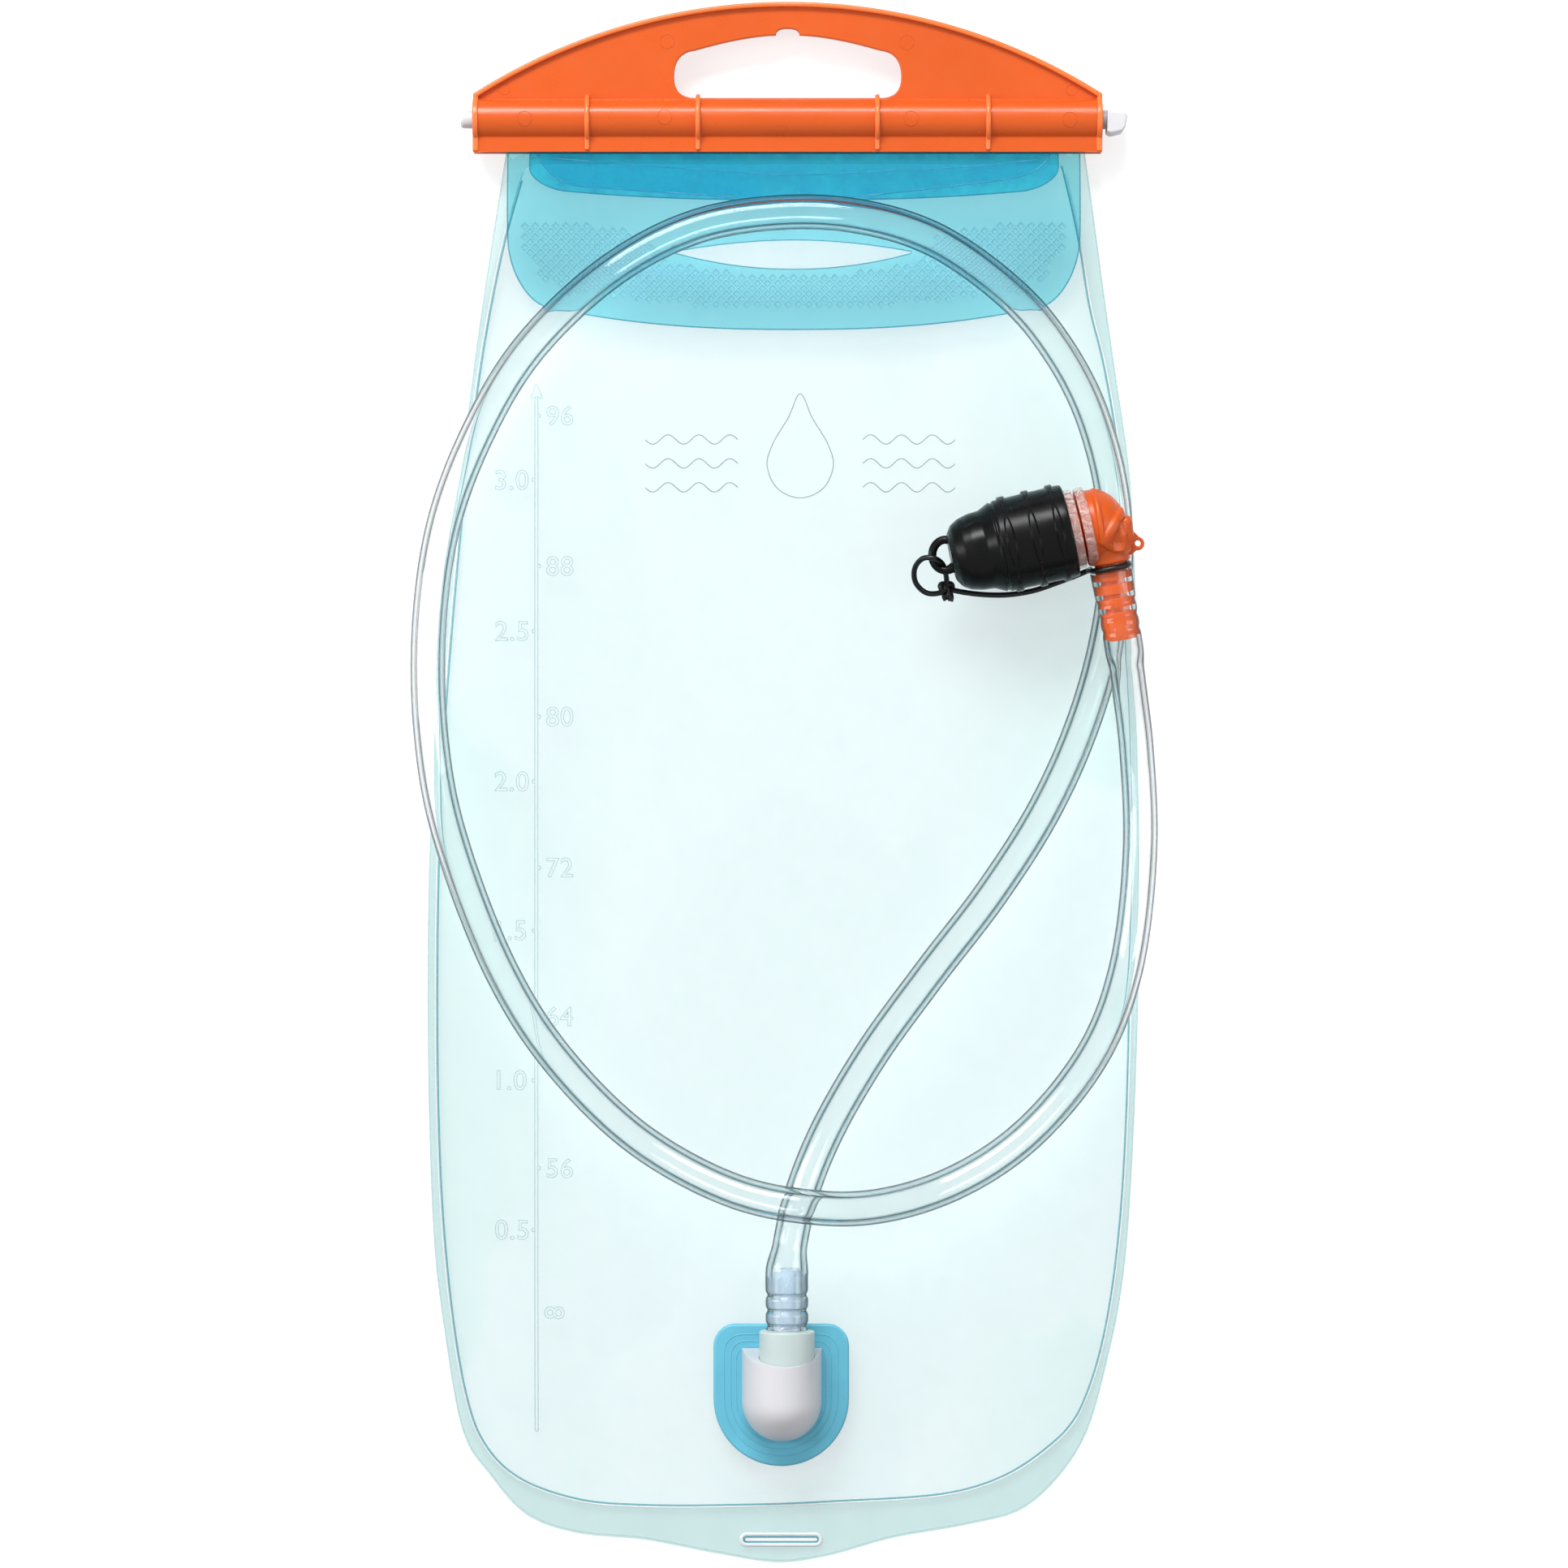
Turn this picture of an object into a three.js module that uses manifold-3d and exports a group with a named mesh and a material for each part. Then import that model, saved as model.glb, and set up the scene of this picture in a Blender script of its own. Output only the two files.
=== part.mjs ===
// Hydration bladder lying on its back: a film reservoir whose mouth folds round a rod in a slide-on closure bar,
// with an outlet port, a clear drink hose and a bite valve under a dust cap.
// Millimetres. +X to the wearer's left, +Y towards the closure, +Z up, the back film flat on z = 0.
import * as THREE from "three";
import { mergeVertices } from "three/addons/utils/BufferGeometryUtils.js";
import Module from "manifold-3d";

const wasm = await Module();
wasm.setup();

// Clearance between touching pieces, and the film.
const GAP = 0.3;
const FILM = 0.4;

// Closure: the rod's centre line runs along X at (ROD_Y, ROD_Z).
const ROD_Y = 180.2;
const ROD_Z = 7.0;
const ROD_R = 2.6;
const INNER_WRAP_R = ROD_R + GAP + FILM / 2;
const OUTER_WRAP_R = INNER_WRAP_R + FILM + GAP;
const BORE_R = OUTER_WRAP_R + FILM / 2 + GAP;
const TUBE_R = 5.7;
const RIB_R = 6.9;
const INNER_LEVEL = (GAP + FILM) / 2;
const OUTER_LEVEL = INNER_LEVEL + GAP + FILM;
const SLOT_HALF = OUTER_LEVEL + FILM / 2 + GAP;
const LIP_WALL = 1.4;
const LIP_Y = 171.2;
const MOUTH_Y = 172.6;
const WRAP_Y = MOUTH_Y + GAP;
const ROD_LEFT = -87.6;
const ROD_RIGHT = 87.6;

// Slider and handle.
const BAR_LEFT = -84.3;
const BAR_RIGHT = 86.2;
const BAR_MID = 1.0;
const ARCH_R = 158.6;
const ARCH_TOP = 211.9;
const WEB_HALF = 1.1;
const RIM_HALF = 2.6;
const RIM_W = 1.3;
const RIB_W = 1.3;
const RIB_PROUD = 0.8;
const RIB_X = [-54.3, -24.3, 24.3, 54.3];
const HANDLE_HALF = 30.8;
const HANDLE_LOW = 186.0;
const HANDLE_SIDE_TOP = 198.9;
const HANDLE_TOP = 203.0;
const HANDLE_END_R = 5.7;
const NOTCH_HALF = 3.2;
const NOTCH_TOP = 204.8;

// Reservoir outline, from the right mouth corner round the bottom to the left mouth corner.
const EDGE = [
  [81.4, MOUTH_Y], [90.0, 113.5], [94.4, 80.5], [96.4, -7.5], [96.6, -51.5], [93.9, -117.5],
  [91.7, -138.6], [88.2, -156.0], [82.1, -177.1], [75.0, -188.3], [64.5, -197.6], [50.4, -201.5],
  [29.3, -205.3], [11.9, -210.1], [-1.3, -211.9], [-18.7, -209.4], [-38.1, -205.7], [-57.4, -203.7],
  [-70.2, -198.9], [-81.2, -186.6], [-86.5, -178.9], [-92.8, -146.5], [-95.7, -117.5], [-96.1, -7.5],
  [-84.5, 113.5], [-75.2, MOUTH_Y],
];
// Weld line inside it, ending at the mouth line SEAM_TOP.
const SEAM_TOP = 168;
const SEAM = [
  [75.2, SEAM_TOP], [79.9, 148.3], [83.2, 129.4], [87.1, 113.5], [92.0, 80.5], [93.3, 14.5],
  [93.9, -60.3], [91.5, -117.5], [87.6, -147.0], [83.4, -163.0], [78.5, -173.6], [71.5, -180.6],
  [60.9, -187.7], [46.9, -192.5], [15.4, -195.1], [-38.1, -196.2], [-57.4, -194.3], [-73.5, -187.9],
  [-81.8, -178.9], [-86.5, -165.9], [-92.8, -117.5], [-93.7, -20.7], [-88.0, 50.0], [-82.3, 113.5],
  [-76.6, 144.3], [-69.8, SEAM_TOP],
];
const CROWN = 7;
const RAMP_FROM = 125;
const MOUTH_STEPS = 12;
const EDGE_STEPS = 52;
const FRONT_RINGS = [0.14, 0.32, 0.5, 0.65, 0.76, 0.85, 0.93, 1];
const BACK_RINGS = [0.3, 0.65, 0.74, 0.83, 0.92, 1];
const TAB_SLOT = { x: -0.8, y: -205.7, length: 20.6, width: 1.8 };

// Outlet port.
const PORT_X = -0.75;
const PORT_Y = -166.8;
const PORT_HALF = 18.4;
const PORT_TOP = -146.5;
const PORT_PLATEAU = 3.0;
const FLANGE_Z = FILM + GAP + FILM + PORT_PLATEAU + 0.35;
const FLANGE_T = 1.6;
const PORT_BORE = 5;
const HOUSE_X = -0.6;
const HOUSE_HALF = 10.8;
const HOUSE_H = 16.8;
const HOUSE_BACK_Y = -167.4;
const HOUSE_FRONT_Y = -153.1;
const HOUSE_FRONT_TOP_Y = -157.0;
const HOUSE_Z = FLANGE_Z + FLANGE_T + GAP;
const COLLAR_X = 0.8;
const COLLAR_R = 7.5;
const COLLAR_Y = -147.8;
const COLLAR_END_Y = -157.8;
const COLLAR_Z = HOUSE_Z + COLLAR_R;
const POCKET_Y = -160.0;

// Hose.
const HOSE_R = 4.75;
const HOSE_BORE = 3.2;
const HOSE_STEPS = 70;
const HOSE_SIDES = 8;
const HOSE = [
  [0.8, -147.3, COLLAR_Z], [0.8, -139.0, COLLAR_Z], [0.9, -130.0, COLLAR_Z], [4.0, -113.5, 12.1], [10.8, -95.5, 12.4],
  [23.3, -73.5, 13.0], [39.2, -51.5, 12.9], [56.1, -29.5, 11.9], [70.2, -7.5, 10.3],
  [80.3, 14.5, 8.8], [86.9, 36.5, 7.6], [90.0, 58.5, 7.1], [88.7, 80.5, 7.1],
  [82.5, 102.5, 7.8], [73.5, 118.8, 9.2], [62.5, 131.6, 11.6], [40.5, 147.2, 13.1],
  [18.5, 153.6, 13.5], [-3.5, 154.2, 13.6], [-25.5, 150.0, 13.2], [-47.5, 138.2, 12.2],
  [-69.5, 117.5, 9.0], [-82.7, 95.9, 7.2], [-92.6, 69.5, 6.5], [-96.6, 36.5, 6.5],
  [-94.6, 3.5, 6.6], [-89.3, -18.5, 7.6], [-76.1, -51.5, 9.7], [-62.0, -73.5, 11.4],
  [-39.8, -95.5, 14.0], [-14.5, -109.1, 19.8], [4.5, -113.4, 22.0], [23.5, -113.9, 19.4],
  [45.0, -108.2, 13.6], [65.1, -95.5, 11.0], [83.6, -73.5, 8.4], [92.4, -51.5, 7.0],
  [96.6, -18.5, 6.5], [95.6, 9.0, 7.6], [93.3, 26.0, 13.0], [91.4, 38.0, 17.8],
  [89.65, 47.85, 18.95], [88.0, 57.2, 20.0],
];

// Bite valve: distances run along VALVE_DIR from VALVE_AT, and STEM runs from STEM_FROM to STEM_TO.
const VALVE_AT = new THREE.Vector3(83.2, 69.6, 21.5);
const VALVE_DIR = new THREE.Vector3(-0.975, -0.222, 0).normalize();
const STEM_FROM = new THREE.Vector3(85.8, 69.6, 21.5);
const STEM_TO = new THREE.Vector3(91.2, 39.2, 17.9);
const DOME_LENGTH = 8.9;
const DOME_R = 9.9;
const RING_R = 9.95;
const SKIN_IN = 10.25;
const SKIN_OUT = 10.9;
const RING_END = 3.6;
const SPLIT = 4.0;
const SOCKET_R = 5.9;
const SOCKET_FLOOR = -1.0;
const WATER_R = 2.6;
const STEM_R = 4.2;
const STEM_ROOT_R = 3.4;
const CAP_MOUTH = 6.4;
const CAP_END = 38.6;
const LUG = [95.0, 64.9];
const EYELET = new THREE.Vector3(42.9, 64.3, 21.5);

// Elastic tether: one turn round the stem, then a strand to a knot at the cap's eyelet.
const CORD_R = 0.75;
const CORD_SIDES = 8;
const TURN_AT = 11.4;
const STRAND = [[79.0, 56.3, 14.5], [74.4, 54.6, 13.2], [67.5, 52.3, 12.0], [60.5, 51.2, 11.2], [53.4, 51.3, 10.8],
  [47.4, 52.1, 10.8]];
const KNOT = new THREE.Vector3(44.2, 52.8, 11.2);
const KNOT_LOOP = [
  [44.2, 52.8, 11.2], [43.8, 58.0, 14.2], [43.0, 63.2, 18.4], [42.9, 64.3, 21.5], [41.2, 65.0, 24.2],
  [38.0, 63.9, 24.4], [36.2, 61.0, 21.0], [35.6, 57.2, 15.2], [38.6, 53.8, 12.0],
];

// ---------- solids ----------

const clamp = (v) => Math.min(1, Math.max(0, v));
const smooth = (v) => clamp(v) ** 2 * (3 - 2 * clamp(v));

function toSolid(geometry) {
  const bare = geometry.clone();
  bare.deleteAttribute("normal");
  bare.deleteAttribute("uv");
  const merged = mergeVertices(bare, 1e-4);
  const mesh = new wasm.Mesh({
    numProp: 3,
    vertProperties: Float32Array.from(merged.attributes.position.array),
    triVerts: Uint32Array.from(merged.index.array),
  });
  mesh.merge();
  return new wasm.Manifold(mesh);
}

function toGeometry(solid) {
  const mesh = solid.getMesh();
  const geometry = new THREE.BufferGeometry();
  geometry.setAttribute("position", new THREE.BufferAttribute(Float32Array.from(mesh.vertProperties), 3));
  geometry.setIndex(new THREE.BufferAttribute(Uint32Array.from(mesh.triVerts), 1));
  return geometry;
}

const cut = (base, ...tools) => toGeometry(tools.reduce((s, t) => s.subtract(toSolid(t)), toSolid(base)));
const join = (base, ...more) => toGeometry(more.reduce((s, m) => s.add(toSolid(m)), toSolid(base)));

function meshFrom(vertices, faces) {
  const geometry = new THREE.BufferGeometry();
  geometry.setAttribute("position", new THREE.Float32BufferAttribute(vertices.flat(), 3));
  geometry.setIndex(faces.flat());
  return geometry;
}

// A shape in (X, Y) raised from z = low to z = high.
function plate(shape, low, high, segments = 24) {
  const geometry = new THREE.ExtrudeGeometry(shape, { depth: high - low, bevelEnabled: false, curveSegments: segments });
  return geometry.translate(0, 0, low);
}

// A shape drawn in (Y, Z) run along X from left to right.
function runAlongX(shape, left, right) {
  const geometry = new THREE.ExtrudeGeometry(shape, { depth: right - left, bevelEnabled: false, curveSegments: 10 });
  const axes = new THREE.Matrix4().makeBasis(
    new THREE.Vector3(0, 1, 0),
    new THREE.Vector3(0, 0, 1),
    new THREE.Vector3(1, 0, 0),
  );
  return geometry.applyMatrix4(axes).translate(left, 0, 0);
}

// A closed profile of [distance, radius] points turned about the line from a point along a direction.
function turn(profile, from, direction, segments = 32) {
  const points = profile.map(([along, r]) => new THREE.Vector2(r, along));
  if (profile[0][1] > 0) points.push(points[0].clone());
  const geometry = new THREE.LatheGeometry(points, segments);
  const spin = new THREE.Quaternion().setFromUnitVectors(new THREE.Vector3(0, 1, 0), direction);
  const made = mergeVertices(geometry, 1e-5).applyQuaternion(spin).translate(from.x, from.y, from.z);
  return outward(made);
}

function outward(geometry) {
  const p = geometry.attributes.position;
  const index = geometry.index.array;
  const a = new THREE.Vector3();
  const b = new THREE.Vector3();
  const c = new THREE.Vector3();
  let volume = 0;
  for (let i = 0; i < index.length; i += 3) {
    a.fromBufferAttribute(p, index[i]);
    b.fromBufferAttribute(p, index[i + 1]);
    c.fromBufferAttribute(p, index[i + 2]);
    volume += a.dot(b.cross(c));
  }
  if (volume < 0) {
    for (let i = 0; i < index.length; i += 3) [index[i], index[i + 1]] = [index[i + 1], index[i]];
  }
  return geometry;
}

const ringProfile = (from, to, inner, outer) => [[from, inner], [from, outer], [to, outer], [to, inner]];
const rodProfile = (from, to, r) => [[from, 0], [from, r], [to, r], [to, 0]];

// A tube along points, with an outer and an inner radius at each; inner 0 gives a solid cord.
function sweep(points, outer, inner, sides, closed = false) {
  const count = points.length;
  const tangents = points.map((p, i) => {
    const before = points[closed ? (i + count - 1) % count : Math.max(0, i - 1)];
    const after = points[closed ? (i + 1) % count : Math.min(count - 1, i + 1)];
    return after.clone().sub(before).normalize();
  });
  const vertices = [];
  const faces = [];
  const hollow = inner.some((r) => r > 0);
  const rings = hollow ? [outer, inner] : [outer];
  rings.forEach((radii) => {
    points.forEach((p, i) => {
      const side = new THREE.Vector3(0, 0, 1).cross(tangents[i]).normalize();
      const up = tangents[i].clone().cross(side);
      for (let k = 0; k < sides; k += 1) {
        const turnBy = (2 * Math.PI * k) / sides;
        const v = p.clone().addScaledVector(side, radii[i] * Math.cos(turnBy));
        v.addScaledVector(up, radii[i] * Math.sin(turnBy));
        vertices.push(v.toArray());
      }
    });
  });
  const at = (layer, i, k) => (layer * count + (i % count)) * sides + (k % sides);
  const spans = closed ? count : count - 1;
  rings.forEach((_, layer) => {
    for (let i = 0; i < spans; i += 1) {
      for (let k = 0; k < sides; k += 1) {
        const [a, b, c, d] = [at(layer, i, k), at(layer, i, k + 1), at(layer, i + 1, k + 1), at(layer, i + 1, k)];
        faces.push(...(layer ? [[a, c, b], [a, d, c]] : [[a, b, c], [a, c, d]]));
      }
    }
  });
  [0, count - 1].forEach((i, end) => {
    if (closed) return;
    for (let k = 0; k < sides; k += 1) {
      if (hollow) {
        const [a, b, c, d] = [at(0, i, k), at(0, i, k + 1), at(1, i, k + 1), at(1, i, k)];
        faces.push(...(end ? [[a, b, c], [a, c, d]] : [[a, c, b], [a, d, c]]));
      } else if (k > 0 && k < sides - 1) {
        const [a, b, c] = [at(0, i, 0), at(0, i, k), at(0, i, k + 1)];
        faces.push(end ? [a, b, c] : [a, c, b]);
      }
    }
  });
  return outward(meshFrom(vertices, faces));
}

// ---------- the reservoir's surface ----------

const vector2 = ([x, y]) => new THREE.Vector3(x, y, 0);

function closedLine(points, steps, mouthSteps) {
  const line = new THREE.CatmullRomCurve3(points.map(vector2), false, "centripetal").getSpacedPoints(steps);
  const [right, left] = [line[0], line[line.length - 1]];
  for (let i = 1; i < mouthSteps; i += 1) line.push(left.clone().lerp(right, i / mouthSteps));
  return line;
}

const edgeLine = closedLine(EDGE, EDGE_STEPS, MOUTH_STEPS);
const seamLine = closedLine(SEAM, 200, 2);

// Distance from the origin to the weld line in the direction of (x, y).
function seamReach(x, y) {
  const length = Math.hypot(x, y);
  const [ux, uy] = [x / length, y / length];
  for (let i = 0; i < seamLine.length; i += 1) {
    const a = seamLine[i];
    const b = seamLine[(i + 1) % seamLine.length];
    const [sideA, sideB] = [ux * a.y - uy * a.x, ux * b.y - uy * b.x];
    if (sideA * sideB > 0 || sideA === sideB) continue;
    const share = sideA / (sideA - sideB);
    const reach = ux * (a.x + share * (b.x - a.x)) + uy * (a.y + share * (b.y - a.y));
    if (reach > 0) return reach;
  }
  return length;
}

// The back film lies flat and climbs to the slot near the mouth.
const SLOT_RISE = ROD_Z - OUTER_LEVEL - FILM / 2;
const backZ = (y) => SLOT_RISE * smooth((y - RAMP_FROM) / (LIP_Y - RAMP_FROM));

// How far the front film stands off the back film, flattened under the port.
function crown(x, y) {
  const length = Math.hypot(x, y);
  const share = length < 1 ? 0 : Math.min(1, length / seamReach(x, y));
  const natural = CROWN * (1 - share ** 3) ** 1.3;
  const away = Math.hypot((x - PORT_X) / 19.5, (y - PORT_Y) / 20.5);
  return THREE.MathUtils.lerp(PORT_PLATEAU, natural, smooth((away - 1) / 0.6));
}

const frontZ = (x, y) => backZ(y) + FILM + GAP + crown(x, y);

function filmSolid(rings, floorAt) {
  const loop = edgeLine;
  const count = loop.length;
  const ringPoints = rings.map((share) => loop.map((p) => {
    const reach = seamReach(p.x, p.y) * share;
    const length = Math.hypot(p.x, p.y);
    return [(p.x * reach) / length, (p.y * reach) / length];
  }));
  ringPoints.push(loop.map((p) => [p.x, p.y]));
  const flat = [[0, 0], ...ringPoints.flat()];
  const vertices = [
    ...flat.map(([x, y]) => [x, y, floorAt(x, y) + FILM]),
    ...flat.map(([x, y]) => [x, y, floorAt(x, y)]),
  ];
  const under = flat.length;
  const faces = [];
  const at = (ring, k) => 1 + ring * count + (k % count);
  for (let k = 0; k < count; k += 1) {
    faces.push([0, at(0, k + 1), at(0, k)], [under, under + at(0, k), under + at(0, k + 1)]);
    for (let r = 0; r + 1 < ringPoints.length; r += 1) {
      const [a, b, c, d] = [at(r, k), at(r, k + 1), at(r + 1, k + 1), at(r + 1, k)];
      faces.push([a, b, c], [a, c, d]);
      faces.push([under + a, under + c, under + b], [under + a, under + d, under + c]);
    }
    const [a, b] = [at(ringPoints.length - 1, k), at(ringPoints.length - 1, k + 1)];
    faces.push([a, b, under + b], [a, under + b, under + a]);
  }
  return outward(meshFrom(vertices, faces));
}

function slotTool() {
  const half = TAB_SLOT.length / 2 - TAB_SLOT.width / 2;
  const shape = new THREE.Shape();
  shape.absarc(half, 0, TAB_SLOT.width / 2, -Math.PI / 2, Math.PI / 2);
  shape.absarc(-half, 0, TAB_SLOT.width / 2, Math.PI / 2, (3 * Math.PI) / 2);
  return plate(shape, -2, 4, 8).translate(TAB_SLOT.x, TAB_SLOT.y, 0);
}

const backFilm = () => cut(filmSolid(BACK_RINGS, (x, y) => backZ(y)), slotTool());

function frontFilm() {
  const outlet = turn(rodProfile(-1, 9, PORT_BORE + 0.4), new THREE.Vector3(PORT_X, PORT_Y, 0), new THREE.Vector3(0, 0, 1), 24);
  return cut(filmSolid(FRONT_RINGS, frontZ), slotTool(), outlet);
}

// ---------- mouth strips ----------

// Offsets a path of [y, z] points by d to its left, with mitred corners.
function offsetPath(path, d) {
  return path.map((p, i) => {
    const before = path[Math.max(0, i - 1)];
    const after = path[Math.min(path.length - 1, i + 1)];
    const one = new THREE.Vector2(p[0] - before[0], p[1] - before[1]);
    const two = new THREE.Vector2(after[0] - p[0], after[1] - p[1]);
    if (i === 0) one.copy(two);
    if (i === path.length - 1) two.copy(one);
    one.normalize();
    two.normalize();
    const normal = new THREE.Vector2(-one.y - two.y, one.x + two.x).normalize();
    const reach = d / Math.max(0.35, normal.dot(new THREE.Vector2(-one.y, one.x)));
    return [p[0] + normal.x * reach, p[1] + normal.y * reach];
  });
}

// From the weld inside the slot, round the rod and out of the slot again.
function wrapPath(radius, level, steps) {
  const start = Math.asin(level / radius);
  const path = [[WRAP_Y, ROD_Z - level], [ROD_Y - radius * Math.cos(start) - 0.5, ROD_Z - level]];
  for (let i = 0; i <= steps; i += 1) {
    const angle = Math.PI + start + ((2 * Math.PI - 2 * start) * i) / steps;
    path.push([ROD_Y + radius * Math.cos(angle), ROD_Z + radius * Math.sin(angle)]);
  }
  path.push([ROD_Y - radius * Math.cos(start) - 0.5, ROD_Z + level], [LIP_Y, ROD_Z + level]);
  return path;
}

// A strip whose column at x wraps the rod and then lies on the front film down to lowAt(x).
function mouthStrip(columns, radius, level, lowAt, liftAt, rows) {
  const wrap = wrapPath(radius, level, 9);
  const fronts = [];
  const backs = [];
  columns.forEach((x) => {
    const path = wrap.map((p) => p.slice());
    for (let i = 1; i <= rows; i += 1) {
      const y = THREE.MathUtils.lerp(LIP_Y, lowAt(x), i / rows);
      path.push([y, frontZ(x, y) + FILM + liftAt(y) + FILM / 2]);
    }
    fronts.push(offsetPath(path, -FILM / 2).map(([y, z]) => [x, y, z]));
    backs.push(offsetPath(path, FILM / 2).map(([y, z]) => [x, y, z]));
  });
  const [across, along] = [columns.length, fronts[0].length];
  const under = across * along;
  const at = (i, j) => i * along + j;
  const faces = [];
  const quad = (a, b, c, d) => faces.push([a, b, c], [a, c, d]);
  for (let i = 0; i + 1 < across; i += 1) {
    for (let j = 0; j + 1 < along; j += 1) {
      quad(at(i, j), at(i + 1, j), at(i + 1, j + 1), at(i, j + 1));
      quad(under + at(i, j), under + at(i, j + 1), under + at(i + 1, j + 1), under + at(i + 1, j));
    }
    quad(at(i, 0), under + at(i, 0), under + at(i + 1, 0), at(i + 1, 0));
    quad(at(i, along - 1), at(i + 1, along - 1), under + at(i + 1, along - 1), under + at(i, along - 1));
  }
  for (let j = 0; j + 1 < along; j += 1) {
    quad(at(0, j), at(0, j + 1), under + at(0, j + 1), under + at(0, j));
    quad(at(across - 1, j), under + at(across - 1, j), under + at(across - 1, j + 1), at(across - 1, j + 1));
  }
  return outward(meshFrom([...fronts.flat(), ...backs.flat()], faces));
}

// Columns packed towards both ends, where the corners are round.
const spread = (left, right, count) => Array.from({ length: count + 1 }, (_, i) => {
  const even = (2 * i) / count - 1;
  const eased = Math.sin((even * Math.PI) / 2) * 0.72 + even * 0.28;
  return (left + right) / 2 + ((right - left) / 2) * eased;
});

const FLAP = { left: -75.0, right: 80.3, side: 148.7, corner: 132.0, middle: 123.2 };
const LIP = { left: -69.0, right: 74.4, side: 167.0, corner: 161.6, middle: 158.2 };

// Lower edge of a strip: a shallow curve with a round corner at each end.
function lowerEdge(strip, x) {
  const half = (strip.right - strip.left) / 2;
  const off = Math.abs(x - (strip.left + strip.right) / 2) / half;
  const bow = strip.middle + (strip.corner - strip.middle) * off ** 2.4;
  const corner = clamp((off - 0.86) / 0.14);
  return bow + (strip.side - bow) * (1 - Math.sqrt(1 - corner ** 2));
}

const lipLift = (y) => GAP + 0.3 * smooth((LIP_Y - y) / 5);
const flapLift = (y) => lipLift(y) + FILM + GAP + 0.2 * smooth((LIP_Y - y) / 5);

const innerLip = () => mouthStrip(
  spread(LIP.left, LIP.right, 10), INNER_WRAP_R, INNER_LEVEL, (x) => lowerEdge(LIP, x), lipLift, 3,
);

function gripFlap() {
  const strip = mouthStrip(
    spread(FLAP.left, FLAP.right, 16), OUTER_WRAP_R, OUTER_LEVEL, (x) => lowerEdge(FLAP, x), flapLift, 7,
  );
  const lens = new THREE.Shape();
  lens.moveTo(-29.9, 143.6);
  lens.quadraticCurveTo(2.6, 151.2, 35.0, 143.6);
  lens.quadraticCurveTo(2.6, 136.0, -29.9, 143.6);
  return cut(strip, plate(lens, 3, 20, 12));
}

// ---------- closure ----------

function closureRod() {
  const axis = new THREE.Vector3(1, 0, 0);
  const origin = new THREE.Vector3(0, ROD_Y, ROD_Z);
  const rod = turn(
    [[ROD_LEFT, 0], [ROD_LEFT, 1.2], [ROD_LEFT + 0.9, 2.2], [ROD_LEFT + 2.2, ROD_R], [ROD_RIGHT + 1, ROD_R], [ROD_RIGHT + 1, 0]],
    origin, axis, 24,
  );
  const hook = new THREE.Shape();
  hook.moveTo(ROD_RIGHT, 182.0);
  hook.lineTo(92.4, 181.6);
  hook.lineTo(92.9, 180.6);
  hook.lineTo(92.6, 177.8);
  hook.lineTo(91.6, 176.7);
  hook.lineTo(88.5, 176.2);
  hook.lineTo(ROD_RIGHT, 176.6);
  return join(rod, plate(hook, ROD_Z - 4.7, ROD_Z + 4.7));
}

// The channel's outside, with its two lips reaching down to y = low.
function channelOutside(outerR, lipOut, low) {
  const shape = new THREE.Shape();
  const angle = Math.asin(lipOut / outerR);
  shape.moveTo(low, ROD_Z - lipOut);
  shape.lineTo(low, ROD_Z + lipOut);
  shape.absarc(ROD_Y, ROD_Z, outerR, Math.PI - angle, -Math.PI + angle, true);
  return shape;
}

// The bore and the slot that opens it towards the bag.
function channelInside() {
  const shape = new THREE.Shape();
  const angle = Math.asin(SLOT_HALF / BORE_R);
  shape.moveTo(LIP_Y - 2, ROD_Z + SLOT_HALF);
  shape.lineTo(LIP_Y - 2, ROD_Z - SLOT_HALF);
  shape.absarc(ROD_Y, ROD_Z, BORE_R, Math.PI + angle, Math.PI * 3 - angle, false);
  return shape;
}

function archShape(inset, low) {
  const r = ARCH_R - inset;
  const half = (BAR_RIGHT - BAR_LEFT) / 2 - inset;
  const centreY = ARCH_TOP - ARCH_R;
  const angle = Math.acos(half / r);
  const shape = new THREE.Shape();
  shape.moveTo(BAR_MID - half, low);
  shape.lineTo(BAR_MID + half, low);
  shape.absarc(BAR_MID, centreY, r, angle, Math.PI - angle, false);
  return shape;
}

function handleHole() {
  const [left, right] = [BAR_MID - HANDLE_HALF, BAR_MID + HANDLE_HALF];
  const hole = new THREE.Shape();
  hole.moveTo(left + HANDLE_END_R, HANDLE_LOW);
  hole.lineTo(right - HANDLE_END_R, HANDLE_LOW);
  hole.quadraticCurveTo(right, HANDLE_LOW, right, HANDLE_LOW + HANDLE_END_R);
  hole.quadraticCurveTo(right, HANDLE_SIDE_TOP - 0.5, right - HANDLE_END_R, HANDLE_SIDE_TOP);
  hole.quadraticCurveTo(BAR_MID + 12, HANDLE_TOP - 0.3, BAR_MID + NOTCH_HALF, HANDLE_TOP);
  hole.quadraticCurveTo(BAR_MID + NOTCH_HALF, NOTCH_TOP, BAR_MID, NOTCH_TOP);
  hole.quadraticCurveTo(BAR_MID - NOTCH_HALF, NOTCH_TOP, BAR_MID - NOTCH_HALF, HANDLE_TOP);
  hole.quadraticCurveTo(BAR_MID - 12, HANDLE_TOP - 0.3, left + HANDLE_END_R, HANDLE_SIDE_TOP);
  hole.quadraticCurveTo(left, HANDLE_SIDE_TOP - 0.5, left, HANDLE_LOW + HANDLE_END_R);
  hole.quadraticCurveTo(left, HANDLE_LOW, left + HANDLE_END_R, HANDLE_LOW);
  return hole;
}

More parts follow.
